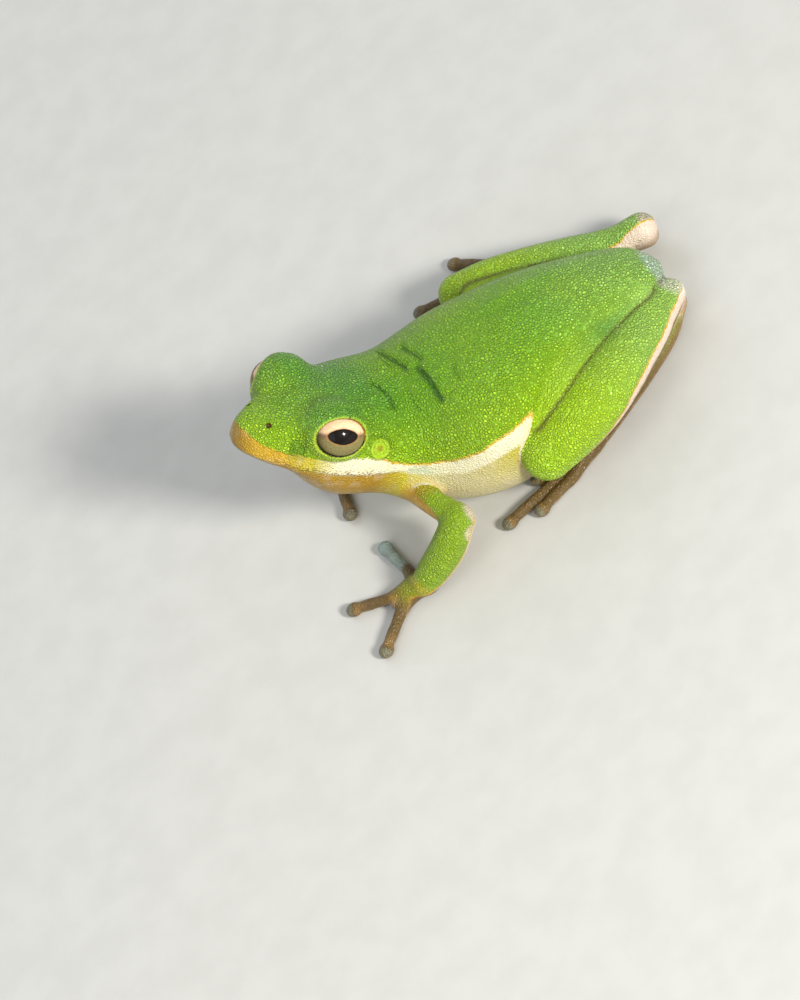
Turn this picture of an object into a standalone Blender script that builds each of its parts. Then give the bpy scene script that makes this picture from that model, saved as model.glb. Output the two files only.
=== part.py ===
"""Life-size still model of an American green tree frog, sitting with its head raised.

Lengths in the tables below are in millimetres, the objects are made in metres.
X runs to the front, Y to the frog's left, Z up, and the ground is Z = 0.
"""
import math

import bmesh
import bpy
from mathutils import Matrix, Vector

MM = 0.001
GAP = 0.30
FLOOR = 0.0

# The head's own frame: its origin is the tip of the snout
SNOUT = Vector((43.4, 2.3, 23.6))
HEAD_YAW = 12.2
HEAD_PITCH = 42.8
HEAD_ROLL = -3.5

# Eyes, eardrums and nostrils, in the head's frame, for the left side
EYE_CENTRE = Vector((-8.76, 5.31, 2.18))
EYE_RADII = Vector((2.85, 2.45, 2.75))
EYE_CLEARANCE = 0.30
LID_CENTRE = Vector((-8.30, 4.60, 2.45))
LID_RADII = (3.35, 3.30, 3.30)
LID_CUP = (3.64, 3.24, 2.45)
RIGHT_EYE_AHEAD = 1.05
RIGHT_LID_AHEAD = 0.30
LID_ROLL = 0.50
OPENING_LENGTH = 5.40
OPENING_HEIGHT = 4.20
EYE_LIFT = 20.0
EYE_FORWARD = 22.0
EYE_ROLL = 5.0
EARDRUM_CENTRE = Vector((-13.1, 7.45, 0.65))
EARDRUM_RADIUS = 1.05
NOSTRIL_CENTRE = Vector((-2.33, 1.96, 2.2))

# Skull sections: distance from the snout, half width, top, lip and throat heights
HEAD_SECTIONS = (
    (0.08, 0.90, 1.30, -0.50, -1.08),
    (-0.30, 1.75, 1.92, -0.65, -1.36),
    (-1.1, 2.65, 2.50, -0.85, -1.70),
    (-2.5, 3.75, 3.05, -1.10, -2.20),
    (-4.5, 4.95, 3.62, -1.35, -2.95),
    (-6.5, 6.00, 4.25, -1.60, -4.40),
    (-8.5, 6.75, 4.75, -1.85, -5.95),
    (-10.5, 7.25, 5.20, -2.10, -6.95),
    (-12.5, 7.60, 5.50, -2.30, -7.30),
    (-14.5, 7.75, 5.65, -2.40, -7.30),
    (-16.3, 7.75, 5.85, -2.50, -7.40),
)
SKULL_POWER = 2.25
JAW_DROP = 0.38

# Trunk sections: centre, pitch and turn of the section, half width, height above and below,
# and how square the upper half is
TRUNK_SECTIONS = (
    ((29.9, 0.6, 9.6), 31.0, 8.0, 8.20, 7.15, 6.90, 2.15),
    ((27.2, 1.7, 9.2), 18.0, 4.0, 9.70, 7.50, 8.20, 2.20),
    ((24.0, 2.5, 8.7), 7.0, 1.0, 11.20, 7.50, 8.40, 2.30),
    ((20.0, 2.3, 8.2), 0.0, 0.0, 10.60, 7.35, 7.90, 2.45),
    ((15.8, 1.6, 7.8), 0.0, 0.0, 9.10, 7.00, 7.40, 2.50),
    ((11.8, 1.0, 7.3), 0.0, 0.0, 7.60, 6.60, 6.50, 2.50),
    ((8.0, 0.7, 6.8), 0.0, 0.0, 6.20, 5.90, 5.60, 2.50),
    ((4.5, 0.6, 6.4), 0.0, 0.0, 5.00, 4.90, 4.70, 2.40),
    ((1.5, 0.5, 6.0), 0.0, 0.0, 3.90, 3.80, 3.80, 2.30),
    ((-0.4, 0.4, 5.7), 0.0, 0.0, 2.80, 2.70, 2.70, 2.20),
    ((-1.4, 0.4, 5.5), 0.0, 0.0, 1.60, 1.50, 1.50, 2.20),
)
BELLY_POWER = 3.3
TRUNK_SIDES = 40

# Limb paths: points with the radius of the flesh at each
THIGH_LEFT = (
    ((2.6, 3.4, 5.6), 2.5),
    ((5.0, 3.8, 5.9), 3.1),
    ((9.0, 5.3, 6.5), 3.4),
    ((13.5, 8.4, 7.1), 3.5),
    ((17.2, 11.7, 6.4), 2.7),
)
SHANK_LEFT = (
    ((18.9, 13.5, 5.8), 2.75),
    ((14.2, 12.7, 6.2), 3.20),
    ((10.0, 11.0, 6.1), 3.25),
    ((4.3, 7.2, 5.0), 2.75),
    ((1.7, 5.2, 4.4), 2.35),
    ((-0.85, 3.2, 3.5), 1.7),
)
ANKLE_LEFT = (
    ((-0.7, 3.2, 2.0), 1.4),
    ((2.1, 5.7, 1.5), 1.4),
    ((6.3, 7.8, 1.2), 1.4),
    ((10.5, 9.7, 1.15), 1.4),
    ((14.9, 11.6, 1.1), 1.3),
)
TOES_LEFT = (
    ((15.0, 9.8), (16.7, 7.6)),
    ((16.4, 10.2), (20.0, 8.8)),
    ((17.8, 11.0), (22.4, 10.4)),
    ((19.0, 12.4), (27.4, 13.3)),
    ((18.2, 13.4), (23.8, 14.6)),
)
THIGH_RIGHT = (
    ((2.4, -3.2, 4.6), 2.4),
    ((6.0, -4.9, 4.5), 2.9),
    ((12.0, -9.0, 4.3), 2.8),
    ((15.8, -12.4, 4.2), 2.3),
)
SHANK_RIGHT = (
    ((17.5, -15.0, 4.1), 2.3),
    ((13.3, -13.1, 4.2), 2.6),
    ((7.2, -10.3, 3.75), 2.55),
    ((1.2, -8.1, 3.1), 1.95),
    ((-2.4, -7.0, 3.6), 1.75),
)
ANKLE_RIGHT = (
    ((-2.4, -7.2, 2.1), 1.4),
    ((2.0, -9.6, 1.5), 1.4),
    ((6.0, -12.6, 1.2), 1.4),
    ((9.5, -15.0, 1.1), 1.3),
)
TOES_RIGHT = (
    ((12.0, -13.0), (14.8, -11.9)),
    ((13.4, -14.2), (18.0, -14.2)),
    ((14.3, -15.8), (21.0, -17.2)),
    ((14.2, -17.3), (23.2, -20.2)),
    ((12.6, -18.6), (17.0, -23.4)),
)
UPPER_ARM_LEFT = (
    ((32.9, 5.0, 7.4), 1.6),
    ((31.6, 10.3, 7.2), 1.35),
    ((30.3, 13.5, 6.6), 1.5),
)
FOREARM_LEFT = (
    ((30.35, 14.2, 6.5), 1.75),
    ((33.0, 14.6, 4.6), 1.90),
    ((35.6, 14.3, 2.9), 1.75),
    ((37.2, 14.1, 2.0), 1.45),
)
PALM_LEFT = ((37.2, 13.8, 1.6), (39.0, 13.1, 1.15))
FINGERS_LEFT = (
    ((36.8, 11.6), (34.8, 10.0)),
    ((38.3, 10.6), (39.3, 4.6)),
    ((41.2, 12.0), (46.1, 9.5)),
    ((41.2, 14.4), (45.3, 17.9)),
)
UPPER_ARM_RIGHT = (
    ((32.4, -3.4, 7.5), 1.6),
    ((31.2, -8.0, 7.1), 1.4),
    ((30.6, -11.4, 6.5), 1.5),
)
FOREARM_RIGHT = (
    ((30.8, -12.2, 6.2), 1.75),
    ((33.4, -12.0, 4.6), 1.95),
    ((36.6, -10.6, 2.7), 1.55),
    ((38.0, -9.6, 2.0), 1.25),
)
PALM_RIGHT = ((38.0, -9.6, 1.5), (39.6, -8.9, 1.15))
FINGERS_RIGHT = (
    ((37.6, -7.2), (35.4, -4.9)),
    ((39.6, -6.6), (40.6, -1.0)),
    ((41.2, -11.0), (43.0, -16.2)),
    ((39.2, -11.6), (40.4, -17.4)),
)
DIGIT_RADIUS = 0.60
DISC_RADIUS = 0.84
DIGIT_HEIGHT = 0.62

COLOURS = {
    "skin_green": (0.27, 0.52, 0.05, 1.0),
    "eye_gold": (0.55, 0.38, 0.22, 1.0),
    "skin_pale": (0.75, 0.70, 0.45, 1.0),
    "skin_tan": (0.40, 0.30, 0.16, 1.0),
}


def clear_scene():
    for item in list(bpy.data.objects):
        bpy.data.objects.remove(item, do_unlink=True)


def make_material(name):
    material = bpy.data.materials.new(name)
    material.use_nodes = True
    shader = material.node_tree.nodes["Principled BSDF"]
    shader.inputs["Base Color"].default_value = COLOURS[name]
    shader.inputs["Roughness"].default_value = 0.4
    return material


def object_from(name, mesh_data):
    mesh = bpy.data.meshes.new(name)
    bmesh.ops.recalc_face_normals(mesh_data, faces=mesh_data.faces[:])
    mesh_data.to_mesh(mesh)
    mesh_data.free()
    made = bpy.data.objects.new(name, mesh)
    bpy.context.scene.collection.objects.link(made)
    return made


def head_matrix():
    yaw = math.radians(HEAD_YAW)
    pitch = math.radians(HEAD_PITCH)
    roll = math.radians(HEAD_ROLL)
    forward = Vector((math.cos(pitch) * math.cos(yaw), math.cos(pitch) * math.sin(yaw), math.sin(pitch)))
    level = Vector((-math.sin(yaw), math.cos(yaw), 0.0))
    rise = forward.cross(level)
    left = level * math.cos(roll) + rise * math.sin(roll)
    up = rise * math.cos(roll) - level * math.sin(roll)
    turn = Matrix((forward, left, up)).transposed().to_4x4()
    return Matrix.Translation(SNOUT) @ turn


HEAD = head_matrix()


def rounded(angle, width, height, power):
    """A point of a superellipse with the given half sizes."""
    side = math.cos(angle)
    rise = math.sin(angle)
    across = math.copysign(abs(side) ** (2.0 / power), side) * width
    upward = math.copysign(abs(rise) ** (2.0 / power), rise) * height
    return across, upward


def loft(name, rings, first_tip=None, last_tip=None):
    """Bridge closed rings of points into one solid, each end flat or drawn to a tip."""
    shape = bmesh.new()
    loops = []
    for ring in rings:
        corners = [shape.verts.new(point * MM) for point in ring]
        edges = []
        for index, corner in enumerate(corners):
            edges.append(shape.edges.new((corners[index - 1], corner)))
        loops.append((corners, edges))
    for index in range(len(loops) - 1):
        first = loops[index][0]
        second = loops[index + 1][0]
        count = len(first)
        for side in range(count):
            after = (side + 1) % count
            shape.faces.new((first[side], first[after], second[after], second[side]))
    for corners, tip in ((loops[0][0], first_tip), (loops[-1][0], last_tip)):
        if tip is None:
            shape.faces.new(corners)
            continue
        point = shape.verts.new(tip * MM)
        for index, corner in enumerate(corners):
            shape.faces.new((corners[index - 1], corner, point))
    return object_from(name, shape)


def smooth_path(points, steps):
    """Pass a Catmull-Rom curve through points that carry a radius."""
    knots = [Vector((*place, radius)) for place, radius in points]
    knots = [knots[0] * 2.0 - knots[1]] + knots + [knots[-1] * 2.0 - knots[-2]]
    curve = []
    for index in range(1, len(knots) - 2):
        before, start, end, after = knots[index - 1:index + 3]
        for step in range(steps):
            t = step / steps
            bend = (before * -1.0 + start * 3.0 - end * 3.0 + after) * t ** 3
            slope = (before * 2.0 - start * 5.0 + end * 4.0 - after) * t ** 2
            curve.append((bend + slope + (end - before) * t + start * 2.0) * 0.5)
    curve.append(knots[-2])
    return [(value.xyz, value.w) for value in curve]


def limb(name, points, steps=4, sides=18, flat=1.0, grow=0.0, end_rings=3):
    """A tapering limb with round ends, its section flattened by the given share."""
    path = smooth_path(points, steps)
    rings = []
    tips = []
    stations = []
    last = len(path) - 1
    for index, (centre, radius) in enumerate(path):
        ahead = path[min(index + 1, last)][0] - path[max(index - 1, 0)][0]
        stations.append((centre, radius + grow, ahead.normalized()))
    for end in (0, last):
        centre, radius, direction = stations[end]
        outward = -direction if end == 0 else direction
        cap = []
        for ring in range(1, end_rings + 1):
            angle = math.pi / 2.0 * ring / (end_rings + 1)
            cap.append((centre + outward * radius * math.sin(angle), radius * math.cos(angle), direction))
        tips.append(centre + outward * radius)
        if end == 0:
            start_cap = cap[::-1]
        else:
            end_cap = cap
    for centre, radius, direction in start_cap + stations + end_cap:
        side = Vector((0.0, 0.0, 1.0)).cross(direction).normalized()
        top = direction.cross(side).normalized()
        ring = []
        for step in range(sides):
            angle = 2.0 * math.pi * step / sides
            ring.append(centre + side * math.cos(angle) * radius + top * math.sin(angle) * radius * flat)
        rings.append(ring)
    return loft(name, rings, tips[0], tips[1])


def ellipsoid(name, centre, radii, frame=None, rings=14, sides=24):
    shape = bmesh.new()
    bmesh.ops.create_uvsphere(shape, u_segments=sides, v_segments=rings, radius=1.0)
    made = object_from(name, shape)
    scale = Matrix.Diagonal(Vector((*radii, 1.0)) * MM)
    scale[3][3] = 1.0
    place = Matrix.Translation(centre * MM)
    turn = frame.to_4x4() if frame else Matrix()
    made.data.transform(place @ turn @ scale)
    return made


def in_head(made):
    """Carry an object drawn in the head's frame into the frog's."""
    move = HEAD.copy()
    move.translation = HEAD.translation * MM
    made.data.transform(move)
    return made


def is_sound(mesh):
    """Whether a mesh has faces and every edge of it lies between two of them."""
    shape = bmesh.new()
    shape.from_mesh(mesh)
    bmesh.ops.remove_doubles(shape, verts=shape.verts[:], dist=0.000001)
    sound = len(shape.faces) > 8 and all(len(edge.link_faces) == 2 for edge in shape.edges)
    shape.free()
    return sound


def boolean(made, operation, target):
    """Apply one Boolean step, with the second solver where the first leaves the solid open."""
    modifier = made.modifiers.new("step", "BOOLEAN")
    modifier.operation = operation
    if isinstance(target, bpy.types.Collection):
        modifier.operand_type = "COLLECTION"
        modifier.collection = target
    else:
        modifier.object = target
    for solver in ("EXACT", "MANIFOLD"):
        modifier.solver = solver
        bpy.context.view_layer.update()
        graph = bpy.context.evaluated_depsgraph_get()
        result = bpy.data.meshes.new_from_object(made.evaluated_get(graph))
        if is_sound(result):
            break
        print("second solver for", made.name)
    made.modifiers.remove(modifier)
    old = made.data
    made.data = result
    bpy.data.meshes.remove(old)


def union(made, others):
    """Join a collection of closed solids to one in a single step."""
    group = bpy.data.collections.new("joining")
    for other in others:
        group.objects.link(other)
    boolean(made, "UNION", group)
    for other in others:
        bpy.data.objects.remove(other, do_unlink=True)
    bpy.data.collections.remove(group)
    return made


def cut(made, cutters):
    """Take each cutter away from a solid and drop the cutter."""
    for cutter in cutters:
        cutter.hide_render = True
        cutter.display_type = "WIRE"
        boolean(made, "DIFFERENCE", cutter)
        bpy.data.objects.remove(cutter, do_unlink=True)
    return made


def box(name, low, high):
    shape = bmesh.new()
    bmesh.ops.create_cube(shape, size=1.0)
    made = object_from(name, shape)
    size = [high[axis] - low[axis] for axis in range(3)]
    middle = Vector([(high[axis] + low[axis]) / 2.0 for axis in range(3)])
    scale = Matrix.Diagonal(Vector((*size, 1.0 / MM)) * MM)
    made.data.transform(Matrix.Translation(middle * MM) @ scale)
    return made


def below_floor():
    return box("floor_cut", (-60.0, -60.0, -20.0), (90.0, 60.0, FLOOR))


def keep_largest(made):
    """Drop every loose shell but the one with the most volume."""
    shape = bmesh.new()
    shape.from_mesh(made.data)
    bmesh.ops.remove_doubles(shape, verts=shape.verts[:], dist=0.000001)
    bmesh.ops.dissolve_degenerate(shape, edges=shape.edges[:], dist=0.000001)
    left = set(shape.faces)
    shells = []
    while left:
        seed = left.pop()
        shell = {seed}
        queue = [seed]
        while queue:
            face = queue.pop()
            for edge in face.edges:
                for other in edge.link_faces:
                    if other in left:
                        left.discard(other)
                        shell.add(other)
                        queue.append(other)
        shells.append(shell)
    shells.sort(key=len, reverse=True)
    for shell in shells[1:]:
        bmesh.ops.delete(shape, geom=list(shell), context="FACES")
    loose = [corner for corner in shape.verts if not corner.link_faces]
    bmesh.ops.delete(shape, geom=loose, context="VERTS")
    bmesh.ops.triangulate(shape, faces=shape.faces[:])
    shape.to_mesh(made.data)
    shape.free()
    made.data.update()
    return made


def trunk(name, grow=0.0):
    """The body from the neck to the vent."""
    rings = []
    first = HEAD_SECTIONS[-1]
    middle = (first[2] + first[4]) / 2.0
    half = (first[2] - first[4]) / 2.0
    for back in (0.0, 0.6):
        ring = []
        for step in range(TRUNK_SIDES):
            across, upward = rounded(2.0 * math.pi * step / TRUNK_SIDES, first[1] + grow, half + grow, SKULL_POWER)
            spot = Vector((first[0] - GAP - back + grow, across, middle + upward))
            ring.append(HEAD @ spot)
        rings.append(ring)
    for centre, pitch, yaw, width, above, below, power in TRUNK_SECTIONS:
        tilt = math.radians(pitch)
        turn = math.radians(yaw)
        ahead = Vector((math.cos(turn) * math.cos(tilt), math.sin(turn) * math.cos(tilt), math.sin(tilt)))
        side = Vector((-math.sin(turn), math.cos(turn), 0.0))
        top = ahead.cross(side)
        ring = []
        for step in range(TRUNK_SIDES):
            turn = 2.0 * math.pi * step / TRUNK_SIDES
            if math.sin(turn) > 0.0:
                across, upward = rounded(turn, width + grow, above + grow, power)
            else:
                across, upward = rounded(turn, width + grow, below + grow, BELLY_POWER)
            ring.append(Vector(centre) + side * across + top * upward)
        rings.append(ring)
    tip = Vector(TRUNK_SECTIONS[-1][0]) + Vector((-0.6 - grow, 0.0, 0.0))
    return loft(name, rings, None, tip)


def half_skull(name, upper):
    """The head above the line of the mouth, or the jaw and throat below it."""
    rings = []
    steps = 18
    for place, width, top, lip, throat in HEAD_SECTIONS:
        ring = []
        middle = (top + throat) / 2.0
        for step in range(steps + 1):
            angle = math.pi * step / steps
            if upper:
                across, upward = rounded(angle, width, top - lip, SKULL_POWER)
                spot = Vector((place, across, lip + upward))
            else:
                across, upward = rounded(-angle, width - 0.15, lip - JAW_DROP - throat, SKULL_POWER)
                spot = Vector((place - 0.35, across, lip - JAW_DROP + upward))
            ring.append(spot)
        if not upper and place == HEAD_SECTIONS[-1][0]:
            for spot in ring:
                spot.x = place
        floor_line = ring[-1].z
        for step in range(1, 6):
            share = step / 6.0
            ring.append(Vector((ring[0].x, ring[18].y + (ring[0].y - ring[18].y) * share, floor_line)))
        rings.append(ring)
    first = rings[0]
    tip = sum(first, Vector()) / len(first)
    tip.x += 0.25
    return in_head(loft(name, rings, tip, None))


def mirrored(point, side):
    return Vector((point.x, point.y * side, point.z))


def eye_frame(side):
    """Looking outward along Z, forward along X."""
    lift = math.radians(EYE_LIFT)
    turn = math.radians(EYE_FORWARD)
    outward = Vector((math.sin(turn), side * math.cos(turn) * math.cos(lift), math.sin(lift))).normalized()
    forward = (Vector((1.0, 0.0, 0.0)) - outward * outward.x).normalized()
    across = outward.cross(forward)
    tilt = math.radians(EYE_ROLL) * -side
    ahead = forward * math.cos(tilt) + across * math.sin(tilt)
    return Matrix((ahead, outward.cross(ahead), outward)).transposed()


def eye_place(point, side, ahead=RIGHT_EYE_AHEAD):
    """A point of the eyes on one side, the right one a little further ahead."""
    return mirrored(point, side) + Vector((ahead if side < 0 else 0.0, 0.0, 0.0))


def lid_bulge(side):
    return in_head(ellipsoid("lid", eye_place(LID_CENTRE, side, RIGHT_LID_AHEAD), LID_RADII, None, 10, 20))


def lid_cup(side):
    """Flesh of even depth round the eyeball, behind the rolled edge of the lids."""
    return in_head(ellipsoid("lid_cup", eye_place(EYE_CENTRE, side), LID_CUP, eye_frame(side), 11, 22))


def socket(side):
    reach = [radius + EYE_CLEARANCE for radius in EYE_RADII]
    return in_head(ellipsoid("socket", eye_place(EYE_CENTRE, side), reach, eye_frame(side), 8, 14))


def lid_ring(side):
    """The rolled edge of the lids, a closed tube lying on the eyeball."""
    frame = eye_frame(side)
    centre = eye_place(EYE_CENTRE, side)
    reach = EYE_RADII + Vector((1.0, 1.0, 1.0)) * LID_ROLL * 0.7
    spine = []
    steps = 22
    for step in range(steps):
        angle = 2.0 * math.pi * step / steps
        along = math.cos(angle) * (OPENING_LENGTH / 2.0 + 0.12)
        upward = math.sin(angle) * (OPENING_HEIGHT / 2.0 + 0.12)
        outward = reach.z * math.sqrt(1.0 - (along / reach.x) ** 2 - (upward / reach.y) ** 2)
        spine.append(centre + frame @ Vector((along, upward, outward)))
    shape = bmesh.new()
    rings = []
    for step, spot in enumerate(spine):
        direction = (spine[(step + 1) % steps] - spine[step - 1]).normalized()
        away = (spot - centre).normalized()
        across = direction.cross(away)
        ring = []
        for corner in range(6):
            angle = 2.0 * math.pi * corner / 6
            place = spot + (away * math.cos(angle) + across * math.sin(angle)) * LID_ROLL
            ring.append(shape.verts.new(place * MM))
        rings.append(ring)
    for step in range(steps):
        first = rings[step - 1]
        second = rings[step]
        for corner in range(6):
            after = (corner + 1) % 6
            shape.faces.new((first[corner], first[after], second[after], second[corner]))
    return in_head(object_from("lid_ring", shape))


def lid_opening(side):
    shape = bmesh.new()
    bmesh.ops.create_cone(shape, cap_ends=True, segments=28, radius1=1.0, radius2=1.25, depth=1.0)
    made = object_from("opening", shape)
    frame = eye_frame(side)
    scale = Matrix.Diagonal(Vector((OPENING_LENGTH / 2.0, OPENING_HEIGHT / 2.0, 5.0, 1.0 / MM)) * MM)
    centre = eye_place(EYE_CENTRE, side) + frame.col[2] * 3.6
    made.data.transform(Matrix.Translation(centre * MM) @ frame.to_4x4() @ scale)
    return in_head(made)


def eye(name, side):
    """An eyeball a little longer than high."""
    frame = eye_frame(side)
    made = ellipsoid(name, eye_place(EYE_CENTRE, side), EYE_RADII, frame, 10, 20)
    return in_head(made)


def side_frame(outward):
    forward = (Vector((1.0, 0.0, 0.0)) - outward * outward.x).normalized()
    return Matrix((forward, outward.cross(forward), outward)).transposed()


def disc(name, centre, outward, radius, depth):
    shape = bmesh.new()
    bmesh.ops.create_cone(shape, cap_ends=True, segments=24, radius1=1.0, radius2=1.0, depth=1.0)
    made = object_from(name, shape)
    scale = Matrix.Diagonal(Vector((radius, radius, depth, 1.0 / MM)) * MM)
    made.data.transform(Matrix.Translation(centre * MM) @ side_frame(outward).to_4x4() @ scale)
    return in_head(made)


def head_tube(name, points, steps=4, sides=8):
    return in_head(limb(name, points, steps, sides, end_rings=1))


def lip_points(side, inset, offset, radius):
    points = []
    for place, width, top, lip, throat in HEAD_SECTIONS[2:-1]:
        points.append(((place, side * (width - inset), lip + offset), radius))
    return points


def make_head():
    parts = [lid_bulge(1), lid_bulge(-1), lid_cup(1), lid_cup(-1), lid_ring(1), lid_ring(-1)]
    for side in (1, -1):
        parts.append(head_tube("lip", lip_points(side, 0.30, 0.48, 0.46), 1, 7))
        fold = (
            ((-10.6, side * 6.3, 3.2), 0.55),
            ((-12.8, side * 6.6, 2.5), 0.60),
            ((-14.6, side * 7.1, 1.2), 0.60),
            ((-15.2, side * 7.3, -0.6), 0.50),
        )
        parts.append(head_tube("ear_fold", fold, 2, 7))
        rim = mirrored(NOSTRIL_CENTRE, side)
        parts.append(in_head(ellipsoid("nostril_rim", rim, (0.85, 0.7, 0.55), None, 8, 12)))
    made = union(half_skull("head", True), parts)
    cutters = []
    for side in (1, -1):
        cutters.append(socket(side))
        cutters.append(lid_opening(side))
        outward = Vector((0.0, side, 0.06)).normalized()
        centre = mirrored(EARDRUM_CENTRE, side)
        cutters.append(disc("ear_cut", centre + outward * 1.0, outward, EARDRUM_RADIUS + GAP, 3.3))
        outward = Vector((0.15, 0.6 * side, 0.8)).normalized()
        spot = mirrored(NOSTRIL_CENTRE, side) + outward * 0.45
        cutters.append(in_head(ellipsoid("nostril", spot, (0.37, 0.27, 0.55), side_frame(outward), 7, 11)))
    return keep_largest(cut(made, cutters))


def make_jaw():
    parts = []
    for side in (1, -1):
        parts.append(head_tube("lip", lip_points(side, 0.55, -GAP - 0.42, 0.38), 1, 7))
    return keep_largest(union(half_skull("lower_jaw", False), parts))


def make_eardrum(name, side):
    outward = Vector((0.0, side, 0.06)).normalized()
    centre = mirrored(EARDRUM_CENTRE, side)
    return disc(name, centre - outward * 0.05, outward, EARDRUM_RADIUS, 0.62)


def digit(base, tip, root):
    """A finger or toe from the palm to its round clinging disc."""
    start = Vector((*root, DIGIT_HEIGHT + 0.25))
    knuckle = Vector((*base, DIGIT_HEIGHT + 0.12))
    end = Vector((*tip, DIGIT_HEIGHT))
    along = (end - knuckle).normalized()
    pad = end - along * DISC_RADIUS
    neck = pad - along * DISC_RADIUS * 1.1
    points = (
        (tuple(start), DIGIT_RADIUS * 1.25),
        (tuple(knuckle), DIGIT_RADIUS * 1.15),
        (tuple(knuckle.lerp(neck, 0.5)), DIGIT_RADIUS),
        (tuple(neck), DIGIT_RADIUS * 0.95),
    )
    bone = limb("digit", points, 2, 8, 1.0, end_rings=1)
    turn = Matrix.Rotation(math.atan2(along.y, along.x), 3, "Z")
    pad_spot = Vector((pad.x, pad.y, DIGIT_HEIGHT * 0.9))
    plate = ellipsoid("pad", pad_spot, (DISC_RADIUS * 1.08, DISC_RADIUS, DIGIT_HEIGHT * 1.05), turn, 6, 10)
    return [bone, plate]


def make_hand(name, palm, fingers, forearm):
    start = Vector(palm[0])
    middle = Vector(palm[1])
    parts = []
    for base, tip in fingers:
        parts.extend(digit(base, tip, (middle.x, middle.y)))
    heel = ((tuple(start), 1.35), (tuple(middle), 1.5), (tuple(middle * 2.0 - start), 1.25))
    made = union(limb(name, heel, 2, 12, 0.75, end_rings=2), parts)
    return keep_largest(cut(made, [below_floor(), limb("wrist_cut", forearm, 3, 16, grow=GAP)]))


def make_foot(name, ankle, toes, cutters):
    end = ankle[-1][0]
    parts = []
    for base, tip in toes:
        parts.extend(digit(base, tip, end[:2]))
    made = union(limb(name, ankle, 2, 12, 0.85, end_rings=2), parts)
    return keep_largest(cut(made, [below_floor()] + cutters))


def finish(made, slot):
    for face in made.data.polygons:
        face.use_smooth = True
    made.data.materials.clear()
    made.data.materials.append(slot)
    return made


def centre_on_origin(solids):
    """Stand the frog on the ground with its box centred over the origin."""
    low = Vector((1.0e9, 1.0e9, 1.0e9))
    high = -low
    for made in solids:
        for corner in made.data.vertices:
            for axis in range(3):
                low[axis] = min(low[axis], corner.co[axis])
                high[axis] = max(high[axis], corner.co[axis])
    move = Matrix.Translation(Vector((-(low.x + high.x) / 2.0, -(low.y + high.y) / 2.0, -low.z)))
    for made in solids:
        made.data.transform(move)
        made.data.update()
    print("moved by", move.translation / MM)


def build():
    clear_scene()
    slots = {name: make_material(name) for name in COLOURS}
    solids = [
        finish(make_head(), slots["skin_green"]),
        finish(make_jaw(), slots["skin_pale"]),
        finish(keep_largest(eye("eye_left", 1)), slots["eye_gold"]),
        finish(keep_largest(eye("eye_right", -1)), slots["eye_gold"]),
        finish(keep_largest(make_eardrum("eardrum_left", 1)), slots["skin_tan"]),
        finish(keep_largest(make_eardrum("eardrum_right", -1)), slots["skin_tan"]),
    ]
    legs = (
        ("left", THIGH_LEFT, SHANK_LEFT, ANKLE_LEFT, TOES_LEFT),
        ("right", THIGH_RIGHT, SHANK_RIGHT, ANKLE_RIGHT, TOES_RIGHT),
    )
    beside_trunk = []
    for side, thigh, shank, ankle, toes in legs:
        lower = limb("shank_" + side, shank, 3, 18)
        upper = cut(limb("thigh_" + side, thigh, 3, 20), [limb("cutter", shank, 3, 18, grow=GAP)])
        blockers = [limb("cutter", shank, 3, 18, grow=GAP), limb("cutter", thigh, 3, 20, grow=GAP), trunk("cutter", GAP)]
        solids.append(finish(keep_largest(upper), slots["skin_green"]))
        solids.append(finish(keep_largest(lower), slots["skin_green"]))
        solids.append(finish(make_foot("foot_" + side, ankle, toes, blockers), slots["skin_tan"]))
        beside_trunk.append(limb("cutter", shank, 3, 18, grow=GAP))
        beside_trunk.append(limb("cutter", thigh, 3, 20, grow=GAP))
    solids.append(finish(keep_largest(cut(trunk("torso"), beside_trunk)), slots["skin_green"]))
    arms = (
        ("left", UPPER_ARM_LEFT, FOREARM_LEFT, PALM_LEFT, FINGERS_LEFT),
        ("right", UPPER_ARM_RIGHT, FOREARM_RIGHT, PALM_RIGHT, FINGERS_RIGHT),
    )
    for side, upper_arm, forearm, palm, fingers in arms:
        upper = cut(limb("upper_arm_" + side, upper_arm, 3, 16), [trunk("cutter", GAP)])
        lower = cut(limb("forearm_" + side, forearm, 3, 16), [limb("cutter", upper_arm, 3, 16, grow=GAP), trunk("cutter", GAP)])
        solids.append(finish(keep_largest(upper), slots["skin_green"]))
        solids.append(finish(keep_largest(lower), slots["skin_green"]))
        solids.append(finish(make_hand("hand_" + side, palm, fingers, forearm), slots["skin_tan"]))
    centre_on_origin(solids)


build()
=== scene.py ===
"""Finish of a life-size still model of an American green tree frog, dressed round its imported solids.

Lengths in the tables are in millimetres in the frog's standing frame, X to the front,
Y to its left and Z up from the ground. The objects are made in metres.
"""
import math

import bmesh
import bpy
import numpy as np
from mathutils import Matrix, Vector


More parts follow.
